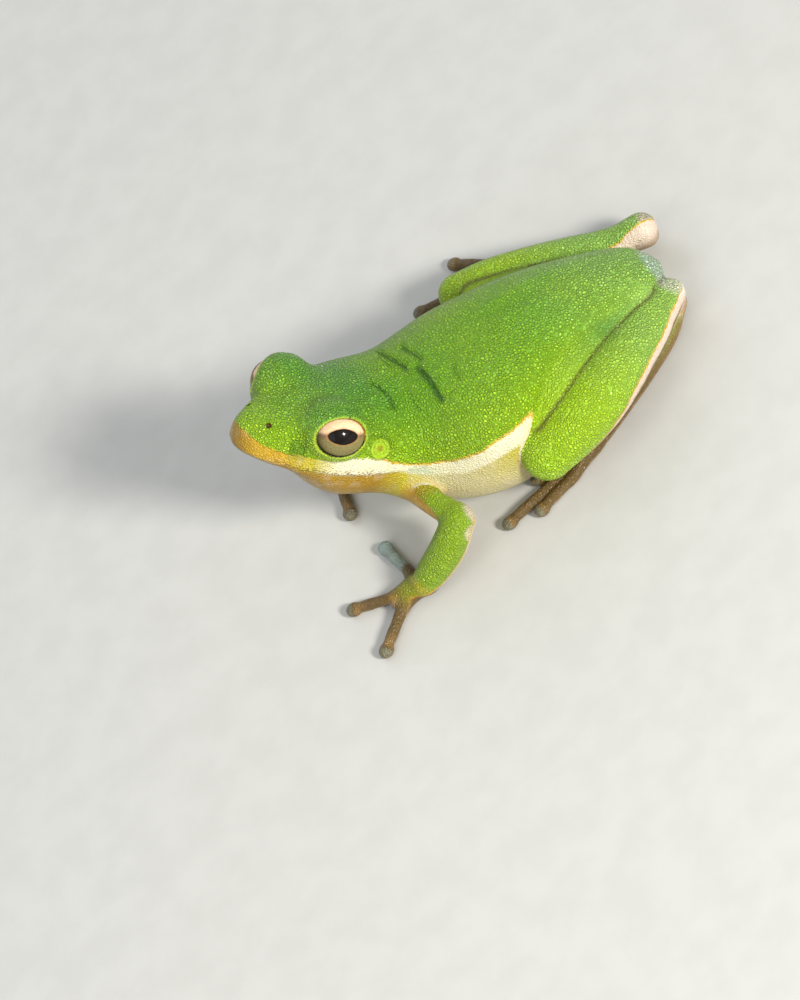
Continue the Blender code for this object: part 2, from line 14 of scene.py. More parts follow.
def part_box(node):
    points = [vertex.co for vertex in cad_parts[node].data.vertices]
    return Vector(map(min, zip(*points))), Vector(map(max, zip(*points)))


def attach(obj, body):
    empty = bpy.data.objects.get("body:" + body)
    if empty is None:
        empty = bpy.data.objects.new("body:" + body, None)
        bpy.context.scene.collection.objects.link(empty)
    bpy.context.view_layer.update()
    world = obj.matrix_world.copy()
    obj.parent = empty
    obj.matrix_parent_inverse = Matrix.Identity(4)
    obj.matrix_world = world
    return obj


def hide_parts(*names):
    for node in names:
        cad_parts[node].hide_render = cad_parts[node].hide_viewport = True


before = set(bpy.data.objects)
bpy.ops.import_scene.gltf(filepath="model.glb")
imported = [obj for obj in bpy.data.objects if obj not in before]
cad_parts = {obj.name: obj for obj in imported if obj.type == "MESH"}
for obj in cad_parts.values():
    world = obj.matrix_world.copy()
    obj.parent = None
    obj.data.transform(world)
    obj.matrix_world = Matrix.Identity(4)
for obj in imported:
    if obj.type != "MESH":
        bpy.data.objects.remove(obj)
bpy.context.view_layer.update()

MM = 0.001

# The head's own frame: its origin is the tip of the snout
SNOUT = Vector((43.4, 2.3, 23.6))
HEAD_YAW = 12.2
HEAD_PITCH = 42.8
HEAD_ROLL = -3.5

# Eyes, eardrums and nostrils, in the head's frame, for the left side
EYE_CENTRE = Vector((-8.76, 5.31, 2.18))
EYE_RADII = Vector((2.85, 2.45, 2.75))
LID_CENTRE = Vector((-8.30, 4.60, 2.45))
LID_RADII = (3.35, 3.30, 3.30)
LID_CUP = (3.30, 2.90, 2.00)
RIGHT_EYE_AHEAD = 1.05
RIGHT_LID_AHEAD = 0.30
LID_ROLL = 0.22
LID_BLEND = 1.1
CUP_BLEND = 0.5
ROLL_BLEND = 0.22
OPENING_BLEND = 0.15
OPENING_DEPTH = 0.20
# The crease round the lids: way out from the opening, depth and width
CREASE = (0.95, 0.10, 0.16)
OPENING_LENGTH = 5.20
OPENING_HEIGHT = 4.10
EYE_LIFT = 20.0
EYE_FORWARD = 22.0
EYE_ROLL = 5.0
EARDRUM = Vector((-13.1, 7.20, 0.65))
EARDRUM_RADIUS = 0.95
NOSTRIL = Vector((-2.33, 1.96, 2.3))
NOSTRIL_RADIUS = 0.42
# Height or depth of each form, with its width
DRUM_RIM = (0.11, 0.15)
DRUM_BOSS = (0.07, 0.35)
NOSTRIL_RIM = (0.11, 0.20)
NOSTRIL_PIT = (0.50, 0.25)
# The eardrum's hollow: its depth, and the radius within which it is that deep
DRUM_SINK = (0.10, 0.60)
# The dark rings painted on the eardrum: radius, width and strength
DRUM_HOOPS = ((1.16, 0.10, 1.0), (0.70, 0.08, 0.6))
# How far round an eardrum and a nostril the faces are at their finest
DRUM_REACH = 1.7
NOSTRIL_REACH = 1.1

# Skull sections: distance from the snout, half width, top, lip and throat heights
HEAD_SECTIONS = (
    (0.20, 0.25, 0.10, -0.35, -0.60),
    (0.08, 0.90, 1.30, -0.55, -0.85),
    (-0.30, 1.75, 1.92, -0.75, -1.15),
    (-1.1, 2.65, 2.50, -1.00, -1.50),
    (-2.5, 3.75, 3.05, -1.30, -2.05),
    (-4.5, 4.95, 3.62, -1.58, -2.80),
    (-6.5, 6.00, 4.25, -1.85, -4.30),
    (-8.5, 6.75, 4.75, -2.05, -5.95),
    (-10.5, 7.25, 5.20, -2.20, -6.95),
    (-12.5, 7.60, 5.50, -2.30, -7.30),
    (-14.5, 7.75, 5.65, -2.40, -7.30),
    (-16.3, 7.75, 5.85, -2.50, -7.40),
)
SKULL_POWER = 2.25
MOUTH_CORNER = -14.6
MOUTH_DEPTH = 0.20
MOUTH_WIDTH = 0.13
MOUTH_DROP = 0.06
JAW_INSET = 0.28
NECK_SOFTENING = 30
SECTION_STEPS = 4

# Trunk sections: centre, pitch and turn of the section, half width, height above and below,
# and how square the upper half is
TRUNK_SECTIONS = (
    ((29.9, 0.6, 9.6), 31.0, 8.0, 8.20, 7.15, 6.90, 2.15),
    ((27.2, 1.7, 9.2), 18.0, 4.0, 9.70, 7.50, 8.20, 2.20),
    ((24.0, 2.5, 8.7), 7.0, 1.0, 11.20, 7.50, 8.40, 2.30),
    ((20.0, 2.3, 8.2), 0.0, 0.0, 10.60, 7.35, 7.90, 2.45),
    ((15.8, 1.6, 7.8), 0.0, 0.0, 9.10, 7.00, 7.40, 2.50),
    ((11.8, 1.0, 7.3), 0.0, 0.0, 7.60, 6.60, 6.50, 2.50),
    ((8.0, 0.7, 6.8), 0.0, 0.0, 6.20, 5.90, 5.60, 2.50),
    ((4.5, 0.6, 6.4), 0.0, 0.0, 5.00, 4.90, 4.70, 2.40),
    ((1.5, 0.5, 6.0), 0.0, 0.0, 3.90, 3.80, 3.80, 2.30),
    ((-0.4, 0.4, 5.7), 0.0, 0.0, 2.80, 2.70, 2.70, 2.20),
    ((-1.4, 0.4, 5.5), 0.0, 0.0, 1.60, 1.50, 1.50, 2.20),
    ((-2.0, 0.4, 5.4), 0.0, 0.0, 0.30, 0.30, 0.30, 2.20),
)
BELLY_POWER = 3.3

# Limb paths: points, each with the radius of the flesh there
LIMBS = {
    "thigh_left": (
        (2.6, 3.4, 5.6, 2.5), (5.0, 3.8, 5.9, 3.1), (9.0, 5.3, 6.5, 3.4), (13.5, 8.4, 7.1, 3.5),
        (17.2, 11.7, 6.4, 2.7),
    ),
    "shank_left": (
        (18.9, 13.5, 5.8, 2.75), (14.2, 12.7, 6.2, 3.20), (10.0, 11.0, 6.1, 3.25), (4.3, 7.2, 5.0, 2.75),
        (1.7, 5.2, 4.4, 2.35), (-0.85, 3.2, 3.5, 1.7),
    ),
    "ankle_left": (
        (-0.7, 3.2, 2.0, 1.4), (2.1, 5.7, 1.5, 1.4), (6.3, 7.8, 1.2, 1.4), (10.5, 9.7, 1.15, 1.4),
        (14.9, 11.6, 1.1, 1.3), (16.8, 12.0, 0.95, 1.1),
    ),
    "thigh_right": (
        (2.4, -3.2, 4.6, 2.4), (6.0, -4.9, 4.5, 2.9), (12.0, -9.0, 4.3, 2.8), (15.8, -12.4, 4.2, 2.3),
    ),
    "shank_right": (
        (17.5, -15.0, 4.1, 2.3), (13.3, -13.1, 4.2, 2.6), (7.2, -10.3, 3.75, 2.55),
        (1.2, -8.1, 3.1, 1.95), (-2.4, -7.0, 3.6, 1.75),
    ),
    "ankle_right": (
        (-2.4, -7.2, 2.1, 1.4), (2.0, -9.6, 1.5, 1.4), (6.0, -12.6, 1.2, 1.4), (9.5, -15.0, 1.1, 1.3),
        (11.6, -16.0, 0.95, 1.1),
    ),
    "upper_arm_left": (
        (32.9, 5.0, 7.4, 1.6), (31.6, 10.3, 7.2, 1.35), (30.3, 13.5, 6.6, 1.5),
    ),
    "forearm_left": (
        (30.35, 14.2, 6.5, 1.75), (33.0, 14.6, 4.6, 1.90), (35.6, 14.3, 2.9, 1.75),
        (37.2, 14.1, 2.0, 1.45),
    ),
    "palm_left": (
        (37.2, 13.8, 1.6, 1.35), (39.0, 13.1, 1.15, 1.45), (40.6, 12.8, 0.9, 1.2),
    ),
    "upper_arm_right": (
        (32.4, -3.4, 7.5, 1.6), (31.2, -8.0, 7.1, 1.4), (30.6, -11.4, 6.5, 1.5),
    ),
    "forearm_right": (
        (30.8, -12.2, 6.2, 1.75), (33.4, -12.0, 4.6, 1.95), (36.6, -10.6, 2.7, 1.55),
        (38.0, -9.6, 2.0, 1.25),
    ),
    "palm_right": (
        (38.0, -9.6, 1.5, 1.2), (39.6, -8.9, 1.15, 1.5), (40.8, -8.4, 0.9, 1.2),
    ),
}
LIMB_FLATNESS = {"ankle_left": 0.85, "ankle_right": 0.85, "palm_left": 0.78, "palm_right": 0.78}

# Fingers and toes on the ground, each from its knuckle to its tip
DIGITS = {
    "palm_left": (
        ((36.8, 11.6), (34.8, 10.0)), ((38.3, 10.6), (39.3, 4.6)), ((41.2, 12.0), (46.1, 9.5)),
        ((41.2, 14.4), (45.3, 17.9)),
    ),
    "palm_right": (
        ((37.6, -7.2), (35.4, -4.9)), ((39.6, -6.6), (40.6, -1.0)), ((41.2, -11.0), (43.0, -16.2)),
        ((39.2, -11.6), (40.4, -17.4)),
    ),
    "ankle_left": (
        ((15.0, 9.8), (16.7, 7.6)), ((16.4, 10.2), (20.0, 8.8)), ((17.8, 11.0), (22.4, 10.4)),
        ((19.0, 12.4), (27.4, 13.3)), ((18.2, 13.4), (23.8, 14.6)),
    ),
    "ankle_right": (
        ((12.0, -13.0), (14.8, -11.9)), ((13.4, -14.2), (18.0, -14.2)), ((14.3, -15.8), (21.0, -17.2)),
        ((14.2, -17.3), (23.2, -20.2)), ((12.6, -18.6), (17.0, -23.4)),
    ),
}
DIGIT_ROOT = {name: LIMBS[name][-2][:2] for name in DIGITS}
DIGIT_RADIUS = 0.60
DISC_RADIUS = 0.84
DIGIT_HEIGHT = 0.62
ROOT_RISE = 0.25
KNUCKLE_RISE = 0.12
# The swell of a digit at its root, knuckle, two joints and neck
DIGIT_SWELLS = (1.25, 1.12, 0.98, 1.04, 0.92)
WEB_HEIGHT = 0.55
WEB_THICKNESS = 0.22
# How far along two toes their web reaches, by whether the tips are nearer than the spread
WEB_REACH = (0.55, 0.30)
WEB_SPREAD = 8.0

# Limbs, each from the body outwards, and how softly they bend, carry a hand or foot and join the body
LEGS = (("thigh_left", "shank_left", "ankle_left"), ("thigh_right", "shank_right", "ankle_right"))
ARMS = (("upper_arm_left", "forearm_left", "palm_left"), ("upper_arm_right", "forearm_right", "palm_right"))
LEG_BLENDS = (0.30, 0.35, 0.45)
ARM_BLENDS = (0.50, 0.60, 1.30)
ROOT_BLEND = 0.60
TOE_BLEND = 0.30
DISC_BLEND = 0.25
GROUND_BLEND = 0.12

# Fineness of the skin's mesh. The grid is worked out in blocks first, and point by point only within
# a few blocks of the skin. Then its corners and the places with finer faces
GRID_STEP = 0.30
COARSE = 4
BLOCKS_NEAR = 1.8
GRID_LOW = (-5.0, -26.0, -0.9)
GRID_HIGH = (48.5, 21.0, 27.5)
NAPE_START = 20.0
NAPE_HEIGHT = 13.5
HEAD_END = -17.0
# Points worked out at a time, and the distance given to those far from a limb
CHUNK = 50000
FAR = 6.0

# Folds of the skin: frame, points, half width and height, a groove where the height is negative
FOLDS = (
    ("head", ((-2.9, 2.5, 2.4), (-4.4, 3.4, 3.0), (-5.6, 4.0, 3.6)), 0.9, 0.20),
    ("head", ((-3.6, 4.0, 0.6), (-5.4, 5.2, 0.6)), 1.2, -0.20),
    ("head", (
        (-11.2, 6.5, 2.9), (-12.4, 6.6, 2.5), (-13.8, 6.9, 2.2), (-14.7, 7.3, 1.2), (-15.4, 7.7, -0.2),
    ), 0.42, 0.20),
    ("head", (
        (-11.8, 6.7, 1.9), (-12.4, 6.7, 2.0), (-13.6, 6.9, 1.8), (-14.2, 7.3, 1.1), (-14.8, 7.7, 0.1),
    ), 0.21, -0.28),
    ("body", (
        (27.5, -4.5, 15.3), (26.7, -2.2, 16.0), (26.1, -0.5, 16.1), (25.6, 0.9, 16.1),
        (25.4, 2.4, 16.1),
    ), 0.30, -0.30),
    ("body", (
        (26.9, -4.3, 15.4), (26.0, -2.1, 16.0), (25.3, -0.4, 16.1), (24.9, 1.0, 16.1),
        (24.7, 2.3, 16.1),
    ), 0.45, 0.20),
    ("body", (
        (24.9, -2.5, 15.6), (24.4, -0.9, 15.9), (23.8, 0.8, 16.0), (23.5, 2.2, 16.0),
    ), 0.28, -0.26),
    ("body", ((24.3, -2.5, 15.6), (23.7, -0.9, 15.9), (23.2, 0.8, 16.0), (22.9, 2.2, 16.0)), 0.40, 0.14),
    ("body", (
        (24.6, 1.3, 16.0), (24.3, 3.0, 16.0), (24.1, 4.9, 15.8), (24.2, 6.0, 15.5), (24.2, 7.0, 15.2),
        (24.2, 7.8, 14.8),
    ), 0.34, -0.42),
    ("body", (
        (23.8, 1.6, 16.0), (23.5, 3.3, 16.0), (23.4, 4.9, 15.8), (23.4, 6.2, 15.5), (23.5, 7.2, 15.1),
    ), 0.50, 0.26),
    ("body", (
        (30.0, 1.2, 18.1), (29.2, 1.8, 17.5), (28.7, 2.7, 17.0), (28.6, 3.7, 16.5), (28.7, 4.6, 16.0),
        (28.8, 5.2, 15.5),
    ), 0.26, -0.28),
    ("body", (
        (29.4, 1.0, 17.7), (28.6, 1.7, 17.1), (28.1, 2.7, 16.6), (28.0, 3.8, 16.2), (28.1, 4.8, 15.7),
    ), 0.38, 0.16),
    ("body", ((31.1, -3.2, 18.1), (30.5, -2.5, 18.0), (30.1, -1.3, 18.1)), 0.24, -0.16),
    ("body", ((26.2, 3.2, 16.0), (26.7, 4.6, 15.5), (26.8, 5.8, 15.0), (26.4, 6.7, 14.5)), 0.20, -0.14),
    ("body", ((20.9, 4.3, 15.6), (21.4, 5.5, 15.6), (21.4, 7.0, 15.3)), 0.22, -0.14),
    ("body", ((27.4, -2.6, 16.2), (26.9, -0.8, 16.5), (26.6, 1.0, 16.5)), 0.20, -0.10),
    ("body", ((17.0, 2.9, 15.0), (12.0, 2.6, 13.9), (7.5, 2.0, 12.4), (3.5, 1.7, 10.6)), 0.9, 0.16),
    ("body", ((17.0, -0.3, 14.9), (12.0, -0.8, 13.8), (7.5, -0.9, 12.3), (3.5, -0.8, 10.5)), 0.9, 0.16),
)


def unit(vector):
    return vector / np.linalg.norm(vector)


def dot(first, second):
    """The product of each row of one and the same row of the other."""
    return (first * second).sum(axis=1)


def ahead_and_left(turn, lift):
    """Unit vectors towards an azimuth and elevation in degrees, and level to the left of it."""
    turn = math.radians(turn)
    lift = math.radians(lift)
    ahead = np.array((math.cos(lift) * math.cos(turn), math.cos(lift) * math.sin(turn), math.sin(lift)))
    return ahead, np.array((-math.sin(turn), math.cos(turn), 0.0))


def head_axes():
    """Forward, left and up of the head as the rows of a matrix."""
    roll = math.radians(HEAD_ROLL)
    forward, level = ahead_and_left(HEAD_YAW, HEAD_PITCH)
    rise = np.cross(forward, level)
    left = level * math.cos(roll) + rise * math.sin(roll)
    up = rise * math.cos(roll) - level * math.sin(roll)
    return np.array((forward, left, up))


HEAD_AXES = head_axes()


def to_head(points):
    return (points - np.array(SNOUT)) @ HEAD_AXES.T


def from_head(points):
    return np.asarray(points) @ HEAD_AXES + np.array(SNOUT)


def eye_axes(side):
    """Forward, upward and outward of an eye, in the head's frame, as rows."""
    lift = math.radians(EYE_LIFT)
    turn = math.radians(EYE_FORWARD)
    outward = unit(np.array((math.sin(turn), side * math.cos(turn) * math.cos(lift), math.sin(lift))))
    forward = unit(np.array((1.0, 0.0, 0.0)) - outward * outward[0])
    upward = np.cross(outward, forward) * -side
    tilt = math.radians(EYE_ROLL)
    ahead = forward * math.cos(tilt) + upward * math.sin(tilt)
    above = upward * math.cos(tilt) - forward * math.sin(tilt)
    return np.array((ahead, above, outward))


def mirrored(point, side):
    """A point given for the left side, on the left where side is 1 and on the right where it is -1."""
    return np.array((point[0], point[1] * side, point[2]))


def eye_place(point, side, ahead=RIGHT_EYE_AHEAD):
    """A point of the eyes on one side, the right one a little further ahead."""
    return mirrored(point, side) + np.array((ahead if side < 0.0 else 0.0, 0.0, 0.0))


def mark_distance(head_points, mark, side):
    """How far points are from an eardrum or nostril, in the head's frame."""
    return np.linalg.norm(head_points - mirrored(mark, side), axis=1)


def smooth_rows(rows, steps):
    """Pass a Catmull-Rom curve through rows of numbers."""
    knots = np.asarray(rows, float)
    knots = np.vstack((knots[0] * 2.0 - knots[1], knots, knots[-1] * 2.0 - knots[-2]))
    curve = []
    for index in range(1, len(knots) - 2):
        before, start, end, after = knots[index - 1:index + 3]
        for step in range(steps):
            t = step / steps
            bend = (before * -1.0 + start * 3.0 - end * 3.0 + after) * t ** 3
            slope = (before * 2.0 - start * 5.0 + end * 4.0 - after) * t ** 2
            curve.append((bend + slope + (end - before) * t + start * 2.0) * 0.5)
    curve.append(knots[-2])
    return np.array(curve)


def smooth_min(first, second, width):
    share = np.clip(0.5 + 0.5 * (second - first) / width, 0.0, 1.0)
    return second + (first - second) * share - width * share * (1.0 - share)


def smooth_max(first, second, width):
    return -smooth_min(-first, -second, width)


def smooth_step(low, high, value):
    share = np.clip((value - low) / (high - low), 0.0, 1.0)
    return share * share * (3.0 - 2.0 * share)


def bell(distance, width):
    return np.exp(-((distance / width) ** 2))


def swell(distance, form):
    """A soft ridge of a given height and width."""
    height, width = form
    return height * bell(distance, width)


def soften_neck(stations):
    """Even out the sections where the head passes into the trunk."""
    first = SECTION_STEPS * (len(HEAD_SECTIONS) - 4)
    last = SECTION_STEPS * (len(HEAD_SECTIONS) + 3)
    index = np.arange(len(stations))
    share = 0.5 * np.clip(np.minimum(index - first, last - index) / SECTION_STEPS, 0.0, 1.0)[:, None]
    for _ in range(NECK_SOFTENING):
        middle = stations.copy()
        middle[1:-1] = (stations[:-2] + stations[2:]) / 2.0
        stations = stations + (middle - stations) * share
    return stations


# Columns of a station: its centre, forward axis and up axis, then these
CENTRE = slice(0, 3)
FORWARD = slice(3, 6)
UPWARD = slice(6, 9)
WIDTH, ABOVE, BELOW, POWER, MOUTH, LOWER_POWER, ALONG = range(9, 16)


def body_stations():
    """Sections of the head and trunk from snout to vent."""
    rows = []
    for place, width, top, lip, throat in HEAD_SECTIONS:
        centre = from_head((place, 0.0, lip))
        mouth = float(place > MOUTH_CORNER)
        sizes = (width, top - lip, lip - throat, SKULL_POWER, mouth, SKULL_POWER)
        rows.append((*centre, *HEAD_AXES[0], *HEAD_AXES[2], *sizes))
    for centre, pitch, yaw, width, above, below, power in TRUNK_SECTIONS:
        ahead, side = ahead_and_left(yaw, pitch)
        rows.append((*centre, *ahead, *np.cross(ahead, side), width, above, below, power, 0.0, BELLY_POWER))
    stations = soften_neck(smooth_rows(rows, SECTION_STEPS))
    stations[:, WIDTH:POWER] = np.maximum(stations[:, WIDTH:POWER], 0.05)
    lengths = np.linalg.norm(np.diff(stations[:, CENTRE], axis=0), axis=1)
    along = np.concatenate(((0.0,), np.cumsum(lengths)))
    return np.column_stack((stations, along))


STATIONS = body_stations()


def body_frame(points):
    """Each point's side and height in its section of the body, that section, and the way past an end."""
    normals = STATIONS[:, FORWARD]
    offsets = dot(STATIONS[:, CENTRE], normals)
    count = len(STATIONS)
    rows = np.empty((len(points), STATIONS.shape[1]))
    ahead = np.zeros(len(points))
    for start in range(0, len(points), CHUNK):
        part = slice(start, start + CHUNK)
        planes = points[part] @ normals.T - offsets
        behind = (planes < 0.0).sum(axis=1)
        first = np.clip(behind - 1, 0, count - 2)
        index = np.arange(len(planes))
        before = planes[index, first]
        after = planes[index, first + 1]
        share = np.clip(before / np.where(before == after, 1.0, before - after), 0.0, 1.0)
        rows[part] = STATIONS[first] + (STATIONS[first + 1] - STATIONS[first]) * share[:, None]
        past = np.where(behind == count, -planes[:, -1], 0.0)
        ahead[part] = np.where(behind == 0, planes[:, 0], past)
    place = points - rows[:, CENTRE]
    forward = rows[:, FORWARD]
    upward = rows[:, UPWARD]
    upward = upward - forward * dot(upward, forward)[:, None] / dot(forward, forward)[:, None]
    upward /= np.linalg.norm(upward, axis=1)[:, None]
    left = np.cross(upward, forward)
    left /= np.linalg.norm(left, axis=1)[:, None]
    return dot(place, left), dot(place, upward), rows, np.maximum(ahead, 0.0)


def body_field(points):
    """Distance to the skin of the head and trunk, negative inside."""
    side, height, rows, ahead = body_frame(points)
    mouth = rows[:, MOUTH]
    width = rows[:, WIDTH] - JAW_INSET * mouth * smooth_step(0.0, 0.25, -height)
    reach = np.where(height > 0.0, rows[:, ABOVE], rows[:, BELOW])
    power = np.where(height > 0.0, rows[:, POWER], rows[:, LOWER_POWER])
    across = np.abs(side / np.maximum(width, 0.05)) ** power
    ratio = (across + np.abs(height / reach) ** power) ** (1.0 / power)
    radial = np.hypot(side, height)
    distance = np.where(ratio > 0.05, radial * (1.0 - 1.0 / np.maximum(ratio, 0.05)), -reach)
    distance = np.where(ahead > 0.0, np.hypot(np.maximum(distance, 0.0), ahead), distance)
    return distance + MOUTH_DEPTH * mouth * bell(height + MOUTH_DROP, MOUTH_WIDTH)


def chain_field(points, path, flat=1.0):
    """Distance to a tapering tube, and the share of its length at the nearest place."""
    shrink = np.array((1.0, 1.0, 1.0 / flat))
    places = points * shrink
    centres = path[:, 0:3] * shrink
    best = np.full(len(points), 1.0e9)
    share = np.zeros(len(points))
    last = len(path) - 1
    for index in range(last):
        line = centres[index + 1] - centres[index]
        reach = max(float(line @ line), 1.0e-9)
        t = np.clip((places - centres[index]) @ line / reach, 0.0, 1.0)
        gap = places - centres[index] - t[:, None] * line
        radius = path[index, 3] + (path[index + 1, 3] - path[index, 3]) * t
        distance = np.sqrt((gap ** 2).sum(axis=1)) - radius
        nearer = distance < best
        best = np.where(nearer, distance, best)
        share = np.where(nearer, (index + t) / last, share)
    return best, share


def ellipsoid_field(points, radii):
    radii = np.asarray(radii, float)
    scaled = points / radii
    size = np.linalg.norm(scaled, axis=1)
    slope = np.linalg.norm(scaled / radii, axis=1)
    return size * (size - 1.0) / np.maximum(slope, 1.0e-9)


def digit_parts(root, base, tip):
    """The path of a finger or toe, and the place and turn of its disc."""
    start = np.array((*root, DIGIT_HEIGHT + ROOT_RISE))
    knuckle = np.array((*base, DIGIT_HEIGHT + KNUCKLE_RISE))
    end = np.array((*tip, DIGIT_HEIGHT))
    along = unit(end - knuckle)
    pad = end - along * DISC_RADIUS
    neck = pad - along * DISC_RADIUS * 0.9
    places = (start, knuckle, knuckle * 0.6 + neck * 0.4, knuckle * 0.3 + neck * 0.7, neck)
    rows = [(*place, DIGIT_RADIUS * swollen) for place, swollen in zip(places, DIGIT_SWELLS)]
    return smooth_rows(rows, 3), np.array((pad[0], pad[1], DIGIT_HEIGHT * 0.9)), along


PATHS = {name: smooth_rows(points, 6) for name, points in LIMBS.items()}
DIGIT_PARTS = {
    name: [digit_parts(DIGIT_ROOT[name], base, tip) for base, tip in digits]
    for name, digits in DIGITS.items()
}


def near(points, path, margin=3.0):
    """Which points lie within the path's box and a margin."""
    reach = margin + path[:, 3].max()
    low = path[:, 0:3].min(axis=0) - reach
    high = path[:, 0:3].max(axis=0) + reach
    return ((points > low) & (points < high)).all(axis=1)


def limb_field(points, name):
    """Distance to one limb, and the share of its length, with far points left at a set distance."""
    path = PATHS[name]
    chosen = near(points, path)
    distance = np.full(len(points), FAR)
    share = np.zeros(len(points))
    distance[chosen], share[chosen] = chain_field(points[chosen], path, LIMB_FLATNESS.get(name, 1.0))
    return distance, share


def digits_field(points, name):
    """Distance to the fingers or toes of one hand or foot, and the way from root to tip."""
    distance = np.full(len(points), FAR)
    share = np.zeros(len(points))
    for path, pad, along in DIGIT_PARTS[name]:
        chosen = near(points, path, 2.5)
        some = points[chosen]
        tube, way = chain_field(some, path)
        turned = np.column_stack((
            (some[:, :2] - pad[:2]) @ along[:2],
            (some[:, :2] - pad[:2]) @ np.array((-along[1], along[0])),
            some[:, 2] - pad[2],
        ))
        disc = ellipsoid_field(turned, (DISC_RADIUS * 1.08, DISC_RADIUS, DIGIT_HEIGHT * 1.05))
        whole = smooth_min(tube, disc, DISC_BLEND)
        way = np.where(disc < tube, 1.0 + smooth_step(-0.6, 0.2, turned[:, 0]), way)
        before = distance[chosen]
        share[chosen] = np.where(whole < before, way, share[chosen])
        distance[chosen] = smooth_min(before, whole, TOE_BLEND)
    if name.startswith("ankle"):
        distance = smooth_min(distance, web_field(points, name), TOE_BLEND)
    return distance, share


def web_field(points, name):
    """Thin skin spread between neighbouring toes."""
    distance = np.full(len(points), FAR)
    root = np.array(DIGIT_ROOT[name])
    toes = [(np.array(base), np.array(tip)) for base, tip in DIGITS[name]]
    low = np.min([np.minimum(base, tip) for base, tip in toes], axis=0) - 2.0
    high = np.max([np.maximum(base, tip) for base, tip in toes], axis=0) + 2.0
    chosen = ((points[:, :2] > low) & (points[:, :2] < high)).all(axis=1) & (points[:, 2] < 4.0)
    some = points[chosen]
    result = np.full(len(some), FAR)
    for (base, tip), (next_base, next_tip) in zip(toes[:-1], toes[1:]):
        reach = WEB_REACH[0] if np.linalg.norm(tip - next_tip) < WEB_SPREAD else WEB_REACH[1]
        ends = (base + (tip - base) * reach, next_base + (next_tip - next_base) * reach)
        corners = (root, base, *ends, next_base)
        middle = sum(corners) / len(corners)
        flat = np.full(len(some), -1.0e9)
        for index, corner in enumerate(corners):
            edge = corner - corners[index - 1]
            normal = unit(np.array((edge[1], -edge[0])))
            if normal @ (middle - corner) > 0.0:
                normal = -normal
            flat = np.maximum(flat, (some[:, :2] - corner) @ normal)
        sheet = smooth_max(flat, np.abs(some[:, 2] - WEB_HEIGHT) - WEB_THICKNESS, 0.2)
        result = np.minimum(result, sheet)
    distance[chosen] = result
    return distance


def eye_fields(head_points, side):
    """Coordinates in an eye's frame and the distance to its ball."""
    local = (head_points - eye_place(EYE_CENTRE, side)) @ eye_axes(side).T
    return local, ellipsoid_field(local, EYE_RADII)


def lid_spread(local):
    """How far points in an eye's frame lie outside the opening of its lids."""
    ring = np.hypot(local[:, 0] / (OPENING_LENGTH / 2.0), local[:, 1] / (OPENING_HEIGHT / 2.0))
    return (ring - 1.0) * (OPENING_HEIGHT / 2.0)


def lids(distance, head_points, side):
    """Add the bulge over an eye, open it and roll the edge of its lids."""
    bulge = ellipsoid_field(head_points - eye_place(LID_CENTRE, side, RIGHT_LID_AHEAD), LID_RADII)
    distance = smooth_min(distance, bulge, LID_BLEND)
    local, ball = eye_fields(head_points, side)
    distance = smooth_min(distance, ellipsoid_field(local, LID_CUP), CUP_BLEND)
    rise = np.clip(1.0 - (local[:, 0] / EYE_RADII[0]) ** 2 - (local[:, 1] / EYE_RADII[1]) ** 2, 0.02, 1.0)
    surface = EYE_RADII[2] * np.sqrt(rise)
    outer = local[:, 2] > 0.0
    spread = lid_spread(local)
    away = np.hypot(spread - LID_ROLL, local[:, 2] - surface + 0.02) - LID_ROLL
    away = np.where(outer, away, FAR)
    opening = np.maximum(np.maximum(spread, -(ball + OPENING_DEPTH)), -local[:, 2])
    distance = smooth_max(distance, -opening, OPENING_BLEND)
    distance = smooth_min(distance, away, ROLL_BLEND)
    place, depth, width = CREASE
    return distance + np.where(outer, depth * bell(spread - place, width) * bell(ball - 0.3, 0.8), 0.0)


def fold_lines():
    """Every fold as a path without thickness in the standing frame, with its half width and height."""
    lines = []
    for place, points, width, height in FOLDS:
        for side in (1.0, -1.0) if place == "head" else (1.0,):
            curve = [mirrored(point, side) for point in points]
            if place == "head":
                curve = from_head(curve)
            curve = smooth_rows(curve, 4)
            lines.append((np.column_stack((curve, np.zeros(len(curve)))), width, height))
    return lines


FOLD_LINES = fold_lines()


def folds(points):
    """How far the folds lift or sink the skin at each point."""
    lift = np.zeros(len(points))
    for line, width, height in FOLD_LINES:
        chosen = near(points, line, width * 3.0)
        if chosen.any():
            distance, share = chain_field(points[chosen], line)
            fade = smooth_step(0.0, 0.2, np.minimum(share, 1.0 - share))
            lift[chosen] += height * bell(distance, width) * fade
    return lift


def head_details(distance, head_points):
    """Eardrums, nostrils and eyes."""
    for side in (1.0, -1.0):
        ear = mirrored(EARDRUM, side)
        away = np.hypot(head_points[:, 0] - ear[0], head_points[:, 2] - ear[2])
        outward = bell(head_points[:, 1] - ear[1], 1.2)
        ring = swell(away - EARDRUM_RADIUS, DRUM_RIM)
        ring = ring - DRUM_SINK[0] * smooth_step(EARDRUM_RADIUS, DRUM_SINK[1], away)
        distance = distance - (ring + swell(away, DRUM_BOSS)) * outward
        nose = mark_distance(head_points, NOSTRIL, side)
        distance = distance - swell(nose - NOSTRIL_RADIUS, NOSTRIL_RIM) + swell(nose, NOSTRIL_PIT)
        distance = lids(distance, head_points, side)
    return distance


